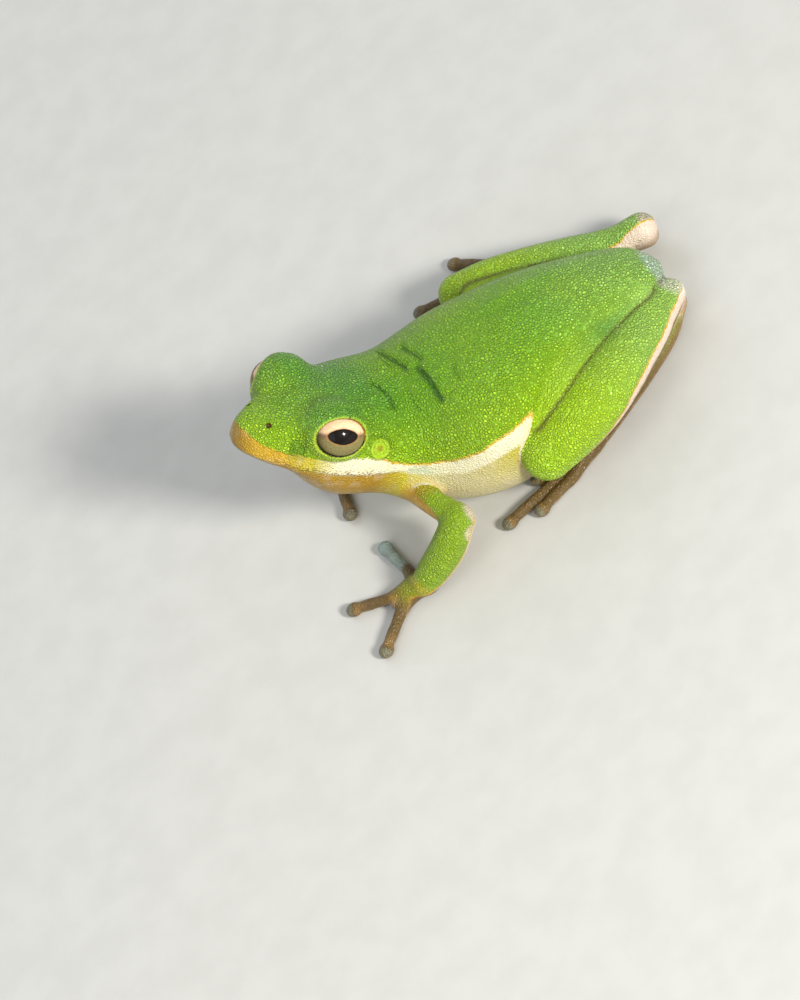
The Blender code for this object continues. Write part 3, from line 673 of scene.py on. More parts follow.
def skin_field(points):
    """Distance to the whole skin, negative inside."""
    distance = body_field(points)
    head_points = to_head(points)
    chosen = head_points[:, 0] > -20.0
    distance[chosen] = head_details(distance[chosen], head_points[chosen])
    for limbs, (bend, carry, join) in ((LEGS, LEG_BLENDS), (ARMS, ARM_BLENDS)):
        for names in limbs:
            upper, lower, end = [limb_field(points, name)[0] for name in names]
            end = smooth_min(end, digits_field(points, names[2])[0], ROOT_BLEND)
            limb = smooth_min(smooth_min(upper, lower, bend), end, carry)
            distance = smooth_min(distance, limb, join)
    distance = distance - folds(points)
    return smooth_max(distance, -points[:, 2], GROUND_BLEND)


def value_and_slope(points, step=0.03):
    """The field and its gradient from four samples round each point."""
    value = np.zeros(len(points))
    slope = np.zeros((len(points), 3))
    for corner in ((1.0, -1.0, -1.0), (-1.0, -1.0, 1.0), (-1.0, 1.0, -1.0), (1.0, 1.0, 1.0)):
        way = np.array(corner)
        sample = skin_field(points + way * step)
        value += sample / 4.0
        slope += sample[:, None] * way / (4.0 * step)
    return value, slope


def settle(points, rounds):
    """Bring points onto the skin along its slope."""
    for _ in range(rounds):
        value, slope = value_and_slope(points)
        size = np.maximum((slope ** 2).sum(axis=1), 0.1)
        move = slope * (value / size)[:, None]
        length = np.linalg.norm(move, axis=1)
        move *= (np.minimum(length, 0.3) / np.maximum(length, 1.0e-9))[:, None]
        points = points - move
    return points


def relax(points, edges, amount):
    """Draw each point towards the middle of its neighbours."""
    count = len(points)
    ends = np.concatenate((edges[:, 0], edges[:, 1]))
    others = np.concatenate((edges[:, 1], edges[:, 0]))
    number = np.maximum(np.bincount(ends, minlength=count), 1)
    middle = np.column_stack([
        np.bincount(ends, weights=points[others, axis], minlength=count) / number for axis in range(3)
    ])
    return points + (middle - points) * amount


def surface_net(field, low, step):
    """A point in each cell that the surface crosses, and the quads between neighbouring cells."""
    inside = field < 0.0
    size = inside.shape
    corners = np.zeros([length - 1 for length in size], np.int8)
    for shift in np.ndindex(2, 2, 2):
        part = tuple(slice(shift[axis], size[axis] - 1 + shift[axis]) for axis in range(3))
        corners += inside[part]
    crossed = (corners > 0) & (corners < 8)
    number = np.full(crossed.shape, -1, np.int64)
    number[crossed] = np.arange(int(crossed.sum()))
    points = low + (np.argwhere(crossed) + 0.5) * step
    quads = []
    for axis in range(3):
        first, second = [other for other in range(3) if other != axis]
        if axis == 1:
            first, second = second, first
        here = [slice(1, -1)] * 3
        here[axis] = slice(0, -1)
        there = [slice(1, -1)] * 3
        there[axis] = slice(1, None)
        start = inside[tuple(here)]
        change = start != inside[tuple(there)]
        spots = np.argwhere(change)
        leaving = start[change]
        origin = spots.copy()
        origin[:, first] += 1
        origin[:, second] += 1
        ring = []
        for back_first, back_second in ((1, 1), (0, 1), (0, 0), (1, 0)):
            cell = origin.copy()
            cell[:, first] -= back_first
            cell[:, second] -= back_second
            ring.append(number[tuple(cell.T)])
        ring = np.column_stack(ring)
        ring[~leaving] = ring[~leaving, ::-1]
        quads.append(ring)
    return points, np.vstack(quads)


def coarse_skin():
    """The skin on an even grid."""
    low = np.array(GRID_LOW)
    block = GRID_STEP * COARSE
    count = np.ceil((np.array(GRID_HIGH) - low) / block).astype(int)
    axes = [low[axis] + (np.arange(count[axis]) + 0.5) * block - GRID_STEP / 2.0 for axis in range(3)]
    middles = np.stack(np.meshgrid(*axes, indexing="ij"), axis=-1).reshape(-1, 3)
    rough = skin_field(middles).reshape(count)
    field = rough.repeat(COARSE, axis=0).repeat(COARSE, axis=1).repeat(COARSE, axis=2)
    spots = np.argwhere(np.abs(field) < block * BLOCKS_NEAR)
    field[tuple(spots.T)] = skin_field(low + spots * GRID_STEP)
    return surface_net(field, low, GRID_STEP)


def edge_pairs(mesh):
    pairs = np.empty(len(mesh.edges) * 2, np.int64)
    mesh.edges.foreach_get("vertices", pairs)
    return pairs.reshape(-1, 2)


def mesh_points(mesh):
    places = np.empty(len(mesh.vertices) * 3)
    mesh.vertices.foreach_get("co", places)
    return places.reshape(-1, 3)


def set_points(mesh, points):
    mesh.vertices.foreach_set("co", np.asarray(points, np.float32).ravel())
    mesh.update()


def refine(mesh, wanted):
    """Split in four the faces whose corners are all wanted."""
    shape = bmesh.new()
    shape.from_mesh(mesh)
    shape.verts.ensure_lookup_table()
    edges = [edge for edge in shape.edges if wanted[edge.verts[0].index] and wanted[edge.verts[1].index]]
    bmesh.ops.subdivide_edges(shape, edges=edges, cuts=1, use_grid_fill=True)
    shape.to_mesh(mesh)
    shape.free()


def fine_places(points):
    """Whether each point is by the finest forms: the eyes, eardrums and nostrils."""
    head_points = to_head(points)
    chosen = np.zeros(len(points), bool)
    for side in (1.0, -1.0):
        local, ball = eye_fields(head_points, side)
        chosen |= (np.abs(ball) < 1.1) & (local[:, 2] > 0.6)
        chosen |= mark_distance(head_points, EARDRUM, side) < DRUM_REACH
        chosen |= mark_distance(head_points, NOSTRIL, side) < NOSTRIL_REACH
    return chosen


def make_skin():
    """The skin's mesh in the standing frame, and its points."""
    points, quads = coarse_skin()
    mesh = bpy.data.meshes.new("skin")
    mesh.from_pydata(points.tolist(), [], quads.tolist())
    points = settle(points, 2)
    points = settle(relax(points, edge_pairs(mesh), 0.6), 1)
    points = settle(relax(points, edge_pairs(mesh), 0.5), 1)
    set_points(mesh, points)
    nape = (points[:, 0] > NAPE_START) & (points[:, 2] > NAPE_HEIGHT)
    refine(mesh, nape | (to_head(points)[:, 0] > HEAD_END))
    refine(mesh, fine_places(mesh_points(mesh)))
    points = mesh_points(mesh)
    points = settle(relax(points, edge_pairs(mesh), 0.3), 2)
    points = settle(relax(points, edge_pairs(mesh), 0.3), 1)
    set_points(mesh, points)
    return mesh, points


# Skin colours as linear red, green and blue
LEAF = (0.280, 0.590, 0.008)
LIME = (0.500, 0.740, 0.008)
ARM_GREEN = (0.270, 0.420, 0.003)
# Painted shade on the top of the head
PAINTED_SHADE_GREEN = (0.110, 0.380, 0.050)
MINT = (0.400, 0.660, 0.130)
DEEP_GREEN = (0.110, 0.300, 0.040)
# Painted shade in the grooves of the folds
FOLD_SHADE_GREEN = (0.040, 0.140, 0.008)
DRUM_GREEN = (0.320, 0.480, 0.010)
HOOP_GREEN = (0.160, 0.240, 0.010)
# Painted shade: the tint that darkens the valleys between the granules
VALLEY_SHADE_TINT = (0.300, 0.500, 0.300)
ASHEN = (0.400, 0.500, 0.330)
WHITE = (0.860, 0.790, 0.540)
BLUE_WHITE = (0.640, 0.760, 0.800)
PINK_WHITE = (0.780, 0.620, 0.520)
CREAM = (0.700, 0.640, 0.400)
BEIGE = (0.640, 0.560, 0.300)
STRAW = (0.540, 0.460, 0.020)
GOLD = (0.380, 0.210, 0.003)
GOLD_LINE = (0.720, 0.440, 0.010)
OCHRE = (0.270, 0.160, 0.002)
AMBER = (0.560, 0.330, 0.004)
ORANGE = (0.600, 0.300, 0.008)
TAN = (0.250, 0.140, 0.035)
BROWN = (0.130, 0.075, 0.014)
DARK_BROWN = (0.040, 0.024, 0.009)
DOT_BROWN = (0.160, 0.070, 0.010)
ASH = (0.170, 0.150, 0.090)
RUST = (0.420, 0.130, 0.010)
LID_YELLOW = (0.520, 0.560, 0.020)
EYE_DARK = (0.008, 0.006, 0.005)

# The pale stripe: distance along the body from the snout, with the heights of its two edges
STRIPE_TOP = (
    (0.0, 2.2), (0.7, 2.1), (1.8, 1.65), (4.3, 1.40), (6.1, 1.60), (8.3, 1.85), (10.7, 2.05),
    (12.6, 1.95), (14.3, 1.75), (16.9, 0.85), (19.3, 0.57), (21.9, 0.77), (24.7, 1.52), (28.1, 2.57),
    (30.8, 2.72), (32.3, 2.4), (34.0, 1.9), (40.0, 0.5), (54.0, -1.0),
)
STRIPE_FOOT = (
    (0.0, -0.1), (13.0, 0.0), (14.2, 0.2), (15.8, 0.15), (18.2, -0.57), (20.6, -1.02), (22.8, -1.11),
    (25.3, -0.26), (28.5, 0.68), (30.0, 0.86), (34.0, 0.3), (40.0, -0.6), (54.0, -2.0),
)
# Its colours and those below it, by the same distance
STRIPE_COLOURS = (
    (0.0, GOLD), (1.5, AMBER), (3.5, AMBER), (6.5, STRAW), (9.0, WHITE), (34.0, WHITE), (40.0, CREAM),
)
THROAT_COLOURS = ((0.0, OCHRE), (8.0, GOLD), (14.0, GOLD), (17.0, STRAW), (20.0, BEIGE))

# Patches of another colour, on the elbows, heels, vent and one finger: centre, reach and colour
PATCHES = (
    ((29.0, 12.6, 6.6), 1.3, (0.780, 0.640, 0.520)),
    ((29.0, 14.4, 6.6), 1.4, (0.780, 0.640, 0.520)),
    ((29.9, 15.9, 5.6), 1.2, (0.760, 0.640, 0.420)),
    ((29.6, -12.8, 6.9), 1.7, (0.780, 0.620, 0.520)),
    ((-2.2, 3.0, 4.6), 2.6, (0.820, 0.760, 0.680)),
    ((-3.9, -6.6, 4.4), 1.9, (0.760, 0.600, 0.500)),
    ((-2.2, 0.7, 6.2), 3.0, (0.660, 0.760, 0.790)),
    ((38.9, 8.4, 0.7), 2.0, (0.300, 0.380, 0.340)),
    ((39.1, 5.6, 0.7), 1.9, (0.280, 0.360, 0.340)),
)

# Each limb: the way its back faces, its width, how granular it is, whether a gold line edges the green,
# then stops along it of the edge of the green, of the width of the pale band below that edge, and of
# the colours above, within and below the band
TIPS = {
    "back": (0.0, 0.0, 1.0), "width": 0.7, "grain": 0.20, "line": 0.0,
    "edge": ((0.0, -0.3),), "band": ((0.0, 0.2),),
    "middle": ((0.0, TAN),), "lower": ((0.0, BROWN), (1.0, DARK_BROWN)),
}
LIMB_COLOURS = {
    "thigh": {
        "back": (0.0, 0.35, 1.0), "width": 3.2, "grain": 0.45, "line": 0.0,
        "edge": ((0.0, -0.2), (1.0, -0.3)), "band": ((0.0, 0.3),),
        "upper": ((0.0, MINT), (0.4, DEEP_GREEN), (1.0, LIME)),
        "middle": ((0.0, CREAM),), "lower": ((0.0, CREAM), (1.0, STRAW)),
    },
    "shank": {
        "back": (0.0, 0.0, 1.0), "width": 2.8, "grain": 0.80, "line": 1.0,
        "edge": ((0.0, -0.75), (0.25, -0.45), (0.5, -0.02), (0.8, 0.20), (1.0, 0.25)),
        "band": ((0.0, 0.3), (0.25, 0.6), (0.5, 1.1), (0.8, 1.4), (1.0, 1.8)),
        "upper": ((0.30, LIME), (0.65, MINT)), "middle": ((0.0, TAN), (0.3, PINK_WHITE)),
        "lower": ((0.0, TAN), (0.5, BROWN), (0.9, BROWN), (1.0, PINK_WHITE)),
    },
    "ankle": {
        "back": (0.0, 0.4, 1.0), "width": 1.3, "grain": 0.30, "line": 0.0,
        "edge": ((0.0, 0.1),), "band": ((0.0, 0.4), (1.0, 0.3)),
        "upper": ((0.0, PINK_WHITE), (0.12, TAN), (0.5, BROWN)),
        "middle": ((0.0, TAN),), "lower": ((0.0, TAN), (0.4, BROWN)),
    },
    "toes": {**TIPS, "upper": ((0.5, BROWN), (0.75, TAN), (0.90, BROWN), (0.97, ASH))},
    "upper_arm": {
        "back": (-0.55, 0.15, 0.85), "width": 1.8, "grain": 0.40, "line": 0.0,
        "edge": ((0.0, 0.6), (0.5, 0.45), (1.0, 0.0)), "band": ((0.5, 0.4), (1.0, 0.5)),
        "upper": ((0.35, GOLD), (0.6, ARM_GREEN)),
        "middle": ((0.0, GOLD),), "lower": ((0.0, GOLD), (1.0, AMBER)),
    },
    "forearm": {
        "back": (0.45, 0.35, 0.80), "width": 1.7, "grain": 0.50, "line": 1.0,
        "edge": ((0.0, -0.25), (0.5, -0.10), (1.0, 0.05)), "band": ((0.0, 0.9), (0.5, 0.7), (1.0, 0.5)),
        "upper": ((0.8, ARM_GREEN), (1.0, STRAW)),
        "middle": ((0.0, PINK_WHITE), (0.7, CREAM), (1.0, GOLD)), "lower": ((0.0, ORANGE), (0.5, BROWN)),
    },
    "palm": {
        "back": (0.1, -0.2, 1.0), "width": 1.3, "grain": 0.35, "line": 0.0,
        "edge": ((0.0, 0.30), (0.6, 0.60), (1.0, 1.1)), "band": ((0.0, 0.2),),
        "upper": ((0.0, ARM_GREEN), (1.0, OCHRE)), "middle": ((0.0, GOLD),), "lower": ((0.0, BROWN),),
    },
    "fingers": {**TIPS, "upper": ((0.35, BROWN), (0.55, TAN), (0.85, BROWN), (0.95, ASH))},
}
# The inner side of the shank isn't green: stops along it of how far round the green reaches there
SHANK_INSIDE = ((0.1, 0.5, 0.85, 1.0), (1.05, 0.80, 0.45, 0.2))
COLOURS = ("upper", "middle", "lower")
PAINTS = (*COLOURS, "edge", "band", "line", "speckle")
PAINT_SPREAD = 0.30


def along_stops(stops, share):
    """Values at each share, drawn between stops of a place and a number or colour."""
    places = [stop[0] for stop in stops]
    values = np.array([np.atleast_1d(stop[1]) for stop in stops], float)
    columns = [np.interp(share, places, values[:, index]) for index in range(values.shape[1])]
    return np.column_stack(columns)


def blend(first, second, share):
    share = np.asarray(share)[:, None]
    return first * (1.0 - share) + np.asarray(second) * share


def body_paint(points):
    """The paints of the head and trunk, whose edge is the height above the stripe's upper one."""
    side, height, rows, ahead = body_frame(points)
    along = rows[:, ALONG]
    top = along_stops(STRIPE_TOP, along)[:, 0]
    edge = height - top
    band = top - along_stops(STRIPE_FOOT, along)[:, 0]
    upper = np.tile(LEAF, (len(points), 1))
    # Painted shade: a darker, bluer green on the top of the head
    upper = blend(upper, PAINTED_SHADE_GREEN, 0.75 * smooth_step(20.0, 12.0, along) * smooth_step(2.5, 5.5, height))
    upper = blend(upper, LIME, 0.90 * smooth_step(6.5, 0.5, edge))
    upper = blend(upper, MINT, 0.9 * smooth_step(36.0, 50.0, along))
    upper = blend(upper, BLUE_WHITE, smooth_step(52.5, 54.0, along))
    middle = along_stops(STRIPE_COLOURS, along)
    lower = along_stops(THROAT_COLOURS, along)
    lower = blend(lower, STRAW, bell(along - 30.0, 4.5) * smooth_step(-5.0, -0.8, edge + band) * 0.9)
    line = smooth_step(12.0, 15.0, along)
    on_lip = smooth_step(1.5, 4.0, along) * smooth_step(15.5, 13.5, along)
    speckle = on_lip * bell(height - 0.22, 0.42)
    return upper, middle, lower, edge, band, line, speckle


def limb_paint(kind, share, normals, side):
    """The paints of a limb, whose edge goes round it by the way that its skin faces."""
    look = LIMB_COLOURS[kind]
    width = look["width"]
    facing = normals @ unit(mirrored(look["back"], side))
    edge = (facing - along_stops(look["edge"], share)[:, 0]) * width
    band = along_stops(look["band"], share)[:, 0]
    if kind == "shank":
        inward = normals @ unit(np.array((0.0, -side, -0.25)))
        edge = np.minimum(edge, (np.interp(share, *SHANK_INSIDE) - inward) * width)
    colours = [along_stops(look[name], share) for name in COLOURS]
    return *colours, edge, band, np.full(len(share), look["line"]), np.zeros(len(share))


def painted_parts(points, normals):
    """Name, distance and paints of the body and of each limb, and how near the points are to the crease
    where a shank meets the thigh or body, for the painted shade there.
    """
    parts = [("body", body_field(points), body_paint(points))]
    crease_shades = np.zeros(len(points))
    for side, legs, arms in ((1.0, LEGS[0], ARMS[0]), (-1.0, LEGS[1], ARMS[1])):
        fields = {}
        for name in (*legs, *arms):
            distance, share = limb_field(points, name)
            kind = name.rsplit("_", 1)[0]
            fields[kind] = distance, share
            parts.append((kind, distance, limb_paint(kind, share, normals, side)))
        for name, kind in ((legs[2], "toes"), (arms[2], "fingers")):
            distance, share = digits_field(points, name)
            share = np.clip(share * 0.5, 0.0, 1.0)
            parts.append((kind, distance, limb_paint(kind, share, normals, side)))
        # Painted shade: a brown line where each shank presses against the thigh and the body
        shank, way = fields["shank"]
        beside = np.minimum(fields["thigh"][0], parts[0][1])
        close = (np.minimum(beside, shank) < 0.5) * smooth_step(0.0, 0.06, way)
        crease_shades = np.maximum(crease_shades, bell(beside - shank, 0.20) * close * (points[:, 2] > 3.0))
    return parts, crease_shades


def head_marks(points):
    """Where the lids' edges, the eardrums and the nostrils are."""
    head_points = to_head(points)
    marks = {name: np.zeros(len(points)) for name in ("lid", "rim", "brow", "ear", "nose", "drum", "hoop")}
    for side in (1.0, -1.0):
        local, ball = eye_fields(head_points, side)
        spread = lid_spread(local)
        front = (local[:, 2] > 0.5) & (ball < 1.2)
        away = mark_distance(head_points, EARDRUM, side)
        hoops = [share * bell(away - radius, width) for radius, width, share in DRUM_HOOPS]
        here = {
            "lid": front * bell(spread - 0.16, 0.13),
            "rim": front * smooth_step(0.13, 0.03, spread),
            "brow": front * smooth_step(-0.1, 0.7, local[:, 1] - 0.25 * local[:, 0]),
            "ear": smooth_step(0.60, 0.15, away),
            "drum": smooth_step(1.22, 1.02, away),
            "hoop": np.clip(sum(hoops), 0.0, 1.0),
            "nose": smooth_step(NOSTRIL_RADIUS, 0.22, mark_distance(head_points, NOSTRIL, side)),
        }
        for name, values in here.items():
            marks[name] = np.maximum(marks[name], values)
    return marks


def skin_paint(points, normals):
    """Every colour and number that the skin's finish reads at its points."""
    parts, crease_shades = painted_parts(points, normals)
    distances = np.array([distance for kind, distance, paints in parts])
    weights = np.exp(-(distances - distances.min(axis=0)) / PAINT_SPREAD)
    weights /= weights.sum(axis=0)
    attributes = {}
    for index, name in enumerate(PAINTS):
        total = 0.0
        for weight, part in zip(weights, parts):
            value = part[2][index]
            total = total + (weight[:, None] * value if value.ndim == 2 else weight * value)
        attributes[name] = total
    for centre, reach, colour in PATCHES:
        share = smooth_step(1.0, 0.55, np.linalg.norm(points - np.array(centre), axis=1) / reach)
        for name in COLOURS:
            attributes[name] = blend(attributes[name], colour, share)
    grains = [1.0 if kind == "body" else LIMB_COLOURS[kind]["grain"] for kind, distance, paints in parts]
    grain = sum(weight * part_grain for weight, part_grain in zip(weights, grains))
    marks = head_marks(points)
    attributes.update(marks)
    attributes["grain"] = grain * (1.0 - 0.8 * marks["lid"]) * (1.0 - 0.7 * marks["drum"])
    # Painted shade in the creases by the shanks
    attributes["crease_shade"] = crease_shades
    # Painted shade: how deep each point lies in the groove of a fold
    attributes["fold_shade"] = np.clip(-folds(points) / 0.30, 0.0, 1.0)
    along = body_frame(points)[2][:, ALONG]
    on_back = smooth_step(8.0, 15.0, along) * smooth_step(50.0, 30.0, along) * (weights[0] > 0.5)
    attributes["along"] = along
    attributes["ranks"] = on_back * smooth_step(-1.0, 2.5, attributes["edge"])
    return attributes


def add_attributes(mesh, attributes):
    for name, values in attributes.items():
        if values.ndim == 2:
            layer = mesh.attributes.new(name, "FLOAT_COLOR", "POINT")
            filled = np.column_stack((np.clip(values, 0.0, 1.0), np.ones(len(values))))
            layer.data.foreach_set("color", filled.astype(np.float32).ravel())
        else:
            layer = mesh.attributes.new(name, "FLOAT", "POINT")
            layer.data.foreach_set("value", values.astype(np.float32))


class Value:
    """What a node gives out. Sums with it add the nodes that work them out."""

    def __init__(self, finish, socket):
        self.finish = finish
        self.socket = socket

    def __add__(self, other):
        return self.finish.math("ADD", self, other)

    def __sub__(self, other):
        return self.finish.math("SUBTRACT", self, other)

    def __rsub__(self, other):
        return self.finish.math("SUBTRACT", other, self)

    def __mul__(self, other):
        return self.finish.math("MULTIPLY", self, other)

    def __truediv__(self, other):
        return self.finish.math("DIVIDE", self, other)

    def __pow__(self, other):
        return self.finish.math("POWER", self, other)

    def __abs__(self):
        return self.finish.math("ABSOLUTE", self)


class Finish:
    """A material whose nodes are added one call at a time."""

    def __init__(self, name):
        self.material = bpy.data.materials.new(name)
        self.material.use_nodes = True
        self.tree = self.material.node_tree
        self.shader = self.tree.nodes["Principled BSDF"]

    def link(self, value, socket):
        if isinstance(value, Value):
            self.tree.links.new(value.socket, socket)
        else:
            socket.default_value = value

    def fill(self, node, values, output):
        """Link or set the node's first inputs, and give its output."""
        for value, socket in zip(values, node.inputs):
            self.link(value, socket)
        return Value(self, node.outputs[output])

    def set(self, **values):
        for name, value in values.items():
            self.link(value, self.shader.inputs[name.replace("_", " ")])

    def read(self, name, output="Fac"):
        """An attribute of the mesh."""
        node = self.tree.nodes.new("ShaderNodeAttribute")
        node.attribute_name = name
        return Value(self, node.outputs[output])

    def place(self):
        return Value(self, self.tree.nodes.new("ShaderNodeTexCoord").outputs["Object"])

    def math(self, operation, first, second=0.0, clamp=False):
        node = self.tree.nodes.new("ShaderNodeMath")
        node.operation = operation
        node.use_clamp = clamp
        return self.fill(node, (first, second), "Value")

    def vector(self, operation, first, second):
        node = self.tree.nodes.new("ShaderNodeVectorMath")
        node.operation = operation
        return self.fill(node, (first, second), "Vector")

    def ramp(self, value, low, high, start=0.0, end=1.0):
        """Rise smoothly from start to end as the value goes from low to high."""
        node = self.tree.nodes.new("ShaderNodeMapRange")
        node.interpolation_type = "SMOOTHSTEP"
        return self.fill(node, (value, low, high, start, end), "Result")

    def mix(self, share, first, second, blend_type="MIX"):
        node = self.tree.nodes.new("ShaderNodeMix")
        node.data_type = "RGBA"
        node.blend_type = blend_type
        self.link(share, node.inputs[0])
        for colour, socket in ((first, node.inputs[6]), (second, node.inputs[7])):
            self.link((*colour, 1.0) if isinstance(colour, tuple) else colour, socket)
        return Value(self, node.outputs[2])

    def noise(self, place, scale, detail=2.0, roughness=0.5, output="Fac"):
        node = self.tree.nodes.new("ShaderNodeTexNoise")
        self.link(place, node.inputs["Vector"])
        node.inputs["Scale"].default_value = scale
        node.inputs["Detail"].default_value = detail
        node.inputs["Roughness"].default_value = roughness
        return Value(self, node.outputs[output])

    def cells(self, place, scale, feature="F1"):
        node = self.tree.nodes.new("ShaderNodeTexVoronoi")
        node.feature = feature
        self.link(place, node.inputs["Vector"])
        node.inputs["Scale"].default_value = scale
        return Value(self, node.outputs["Distance"])

    def bump(self, height, distance):
        node = self.tree.nodes.new("ShaderNodeBump")
        self.link(height, node.inputs["Height"])
        node.inputs["Distance"].default_value = distance
        node.inputs["Strength"].default_value = 1.0
        return Value(self, node.outputs["Normal"])


# The skin's granules: cells to the metre, how far they wander and how high they stand, in metres,
# and the spacing of the ranks they stand in on the back, in millimetres along the body
GRANULES = 3100.0
SMALL_GRANULES = 5400.0
GRANULE_WARP = 0.00010
GRANULE_HEIGHT = 0.00030
RANK_SPACING = 0.46


def skin_material():
    finish = Finish("frog_skin")
    ramp, mix, noise, read = finish.ramp, finish.mix, finish.noise, finish.read
    place = finish.place()
    warp = finish.vector("SUBTRACT", noise(place, 900.0, 2.0, output="Color"), (0.5, 0.5, 0.5))
    warped = finish.vector("ADD", place, finish.vector("MULTIPLY", warp, (GRANULE_WARP,) * 3))
    dome = ramp(finish.cells(warped, GRANULES, "DISTANCE_TO_EDGE"), 0.0, 0.34)
    small = ramp(finish.cells(warped, SMALL_GRANULES), 0.05, 0.6, 1.0, 0.0)
    broad = noise(place, 160.0, 3.0)
    patchy = noise(place, 420.0, 3.0, 0.6)

    # Ranks of granules across the back
    drift = (noise(place, 330.0, 3.0, 0.6) - 0.5) * 4.2
    rank = finish.math("PINGPONG", read("along") / RANK_SPACING + drift, 0.5)
    ranks = read("ranks") * ramp(broad, 0.25, 0.55, 0.35, 1.0)
    furrow = ramp(rank, 0.0, 0.16, 0.55, 0.0) * ranks

    # Green above, the stripe in the middle and the belly's colours below
    edge = read("edge") + (patchy - 0.5) * 0.6 + (dome - 0.5) * 0.16
    in_middle = ramp(edge + read("band"), -0.35, 0.20)
    in_green = ramp(edge, -0.08, 0.10)
    grain = read("grain") * ramp(edge, -0.15, 0.35, 0.22, 1.0)
    fresh = ramp(broad, 0.35, 0.7, 0.0, 0.35) * ramp(grain, 0.35, 0.8)
    green = mix(fresh, read("upper", "Color"), LIME)
    colour = mix(in_middle, read("lower", "Color"), read("middle", "Color"))
    colour = mix(ramp(noise(place, 700.0, 2.0), 0.5, 0.75, 0.0, 0.22), colour, PINK_WHITE)
    colour = mix(in_green, colour, green)

    # Ashen blotches, the gold line along the green, dots on the lip, and brown painted shade in the creases
    # by the shanks
    along = read("along")
    ashen = ramp(patchy, 0.50, 0.62, 0.0, 0.6) * ramp(along, 14.0, 17.0) * ramp(along, 26.0, 22.0)
    ashen = ashen * finish.math("SUBTRACT", in_middle, in_green, clamp=True)
    colour = mix(ashen, colour, ASHEN)
    colour = mix(ramp(abs(edge + 0.08), 0.22, 0.02) * read("line"), colour, GOLD_LINE)
    dots = ramp(noise(place, 4200.0, 2.0, 0.6), 0.48, 0.60)
    colour = mix(dots * read("speckle") * 0.85, colour, DOT_BROWN)
    # Painted shade: brown where the shanks press on the thighs and body
    colour = mix(read("crease_shade") * 0.85, colour, BROWN)
    # Painted shade: the colour is darkened in the valleys between the granules and in the furrows between
    # their ranks
    valley_shade = finish.math("MAXIMUM", (1.0 - dome) * (grain * 0.72), furrow * 0.8)
    colour = mix(valley_shade, colour, mix(1.0, colour, VALLEY_SHADE_TINT, "MULTIPLY"))

    # Painted shade in the grooves of the folds, then the eardrums, lids and nostrils
    colour = mix(read("fold_shade") * 0.85, colour, FOLD_SHADE_GREEN)
    colour = mix(read("drum") * 0.45, colour, DRUM_GREEN)
    colour = mix(read("hoop") * 0.60, colour, HOOP_GREEN)
    brow = read("brow")
    colour = mix(read("lid") * ramp(brow, 0.0, 1.0, 0.60, 0.30), colour, LID_YELLOW)
    colour = mix(read("rim"), colour, mix(brow, EYE_DARK, RUST))
    colour = mix(read("ear") * 0.7, colour, OCHRE)
    colour = mix(read("nose"), colour, BROWN)

    wrinkle = noise(place, 1500.0, 3.0, 0.6)
    height = dome * grain + small * 0.16 + wrinkle * grain * 0.6 - furrow * 0.8
    normal = finish.bump(height, GRANULE_HEIGHT)
    finish.set(Base_Color=colour, Roughness=ramp(patchy, 0.3, 0.7, 0.36, 0.50), Normal=normal)
    finish.set(Specular_IOR_Level=0.45, Coat_Weight=0.30, Coat_Roughness=0.18, Coat_Normal=normal)
    finish.set(Subsurface_Weight=0.06, Subsurface_Radius=(1.0, 0.9, 0.35), Subsurface_Scale=0.0004)
    return finish.material


# The eye: half length and half height of the pupil and of the coloured ring, and their middle
PUPIL = (1.58, 0.84)
IRIS = (2.65, 2.12)
GAZE = (-0.05, 0.22)
COPPER = (0.800, 0.520, 0.290)
PEACH = (0.920, 0.700, 0.480)
COPPER_CLOUD = (0.420, 0.200, 0.080)
PEWTER = (0.190, 0.165, 0.060)
PALE_PEWTER = (0.300, 0.260, 0.110)
VEIN_BROWN = (0.140, 0.100, 0.050)
STREAK_BROWN = (0.090, 0.050, 0.025)
PUPIL_RUST = (0.450, 0.170, 0.050)


def eye_material():
    finish = Finish("frog_eye")
    ramp, mix, noise = finish.ramp, finish.mix, finish.noise
    along = finish.read("eye_along")
    rise = finish.read("eye_rise")
    place = finish.place()
    ragged = (noise(place, 2600.0, 2.0) - 0.5) * 0.10
    pupil = abs(along / PUPIL[0]) ** 1.60 + abs(rise / PUPIL[1]) ** 2.0 + ragged
    across = ((along + GAZE[0]) / IRIS[0]) ** 2.0
    upward = ((rise + GAZE[1]) / IRIS[1]) ** 2.0
    around = finish.math("SQRT", across + upward)

    fleck = noise(place, 5200.0, 4.0, 0.7)
    veins = ramp(finish.cells(place, 3800.0, "DISTANCE_TO_EDGE"), 0.0, 0.12, 1.0, 0.0)
    upper = mix(ramp(fleck, 0.35, 0.65), COPPER, PEACH)
    upper = mix(ramp(noise(place, 1500.0, 3.0, 0.6), 0.55, 0.75, 0.0, 0.5), upper, COPPER_CLOUD)
    lower = mix(ramp(fleck, 0.35, 0.65, 0.0, 0.7), PEWTER, PALE_PEWTER)
    lower = mix(veins * 0.35, lower, VEIN_BROWN)
    colour = mix(ramp(rise, -0.35, 0.30), lower, upper)
    streak = ramp(abs(rise), 0.40, 0.05) * ramp(abs(along), 1.0, 1.6)
    colour = mix(streak * 0.75, colour, STREAK_BROWN)
    colour = mix(ramp(pupil, 1.40, 1.05, 0.0, 0.5), colour, PUPIL_RUST)
    border = mix(ramp(rise - along * 0.25, -0.1, 0.8), EYE_DARK, RUST)
    colour = mix(ramp(around, 0.90, 0.97), colour, border)
    colour = mix(ramp(pupil, 1.06, 0.94), colour, EYE_DARK)
    finish.set(Base_Color=colour, Roughness=0.4, Specular_IOR_Level=0.04)
    finish.set(Coat_Weight=0.45, Coat_Roughness=0.02, Coat_IOR=1.33)
    return finish.material


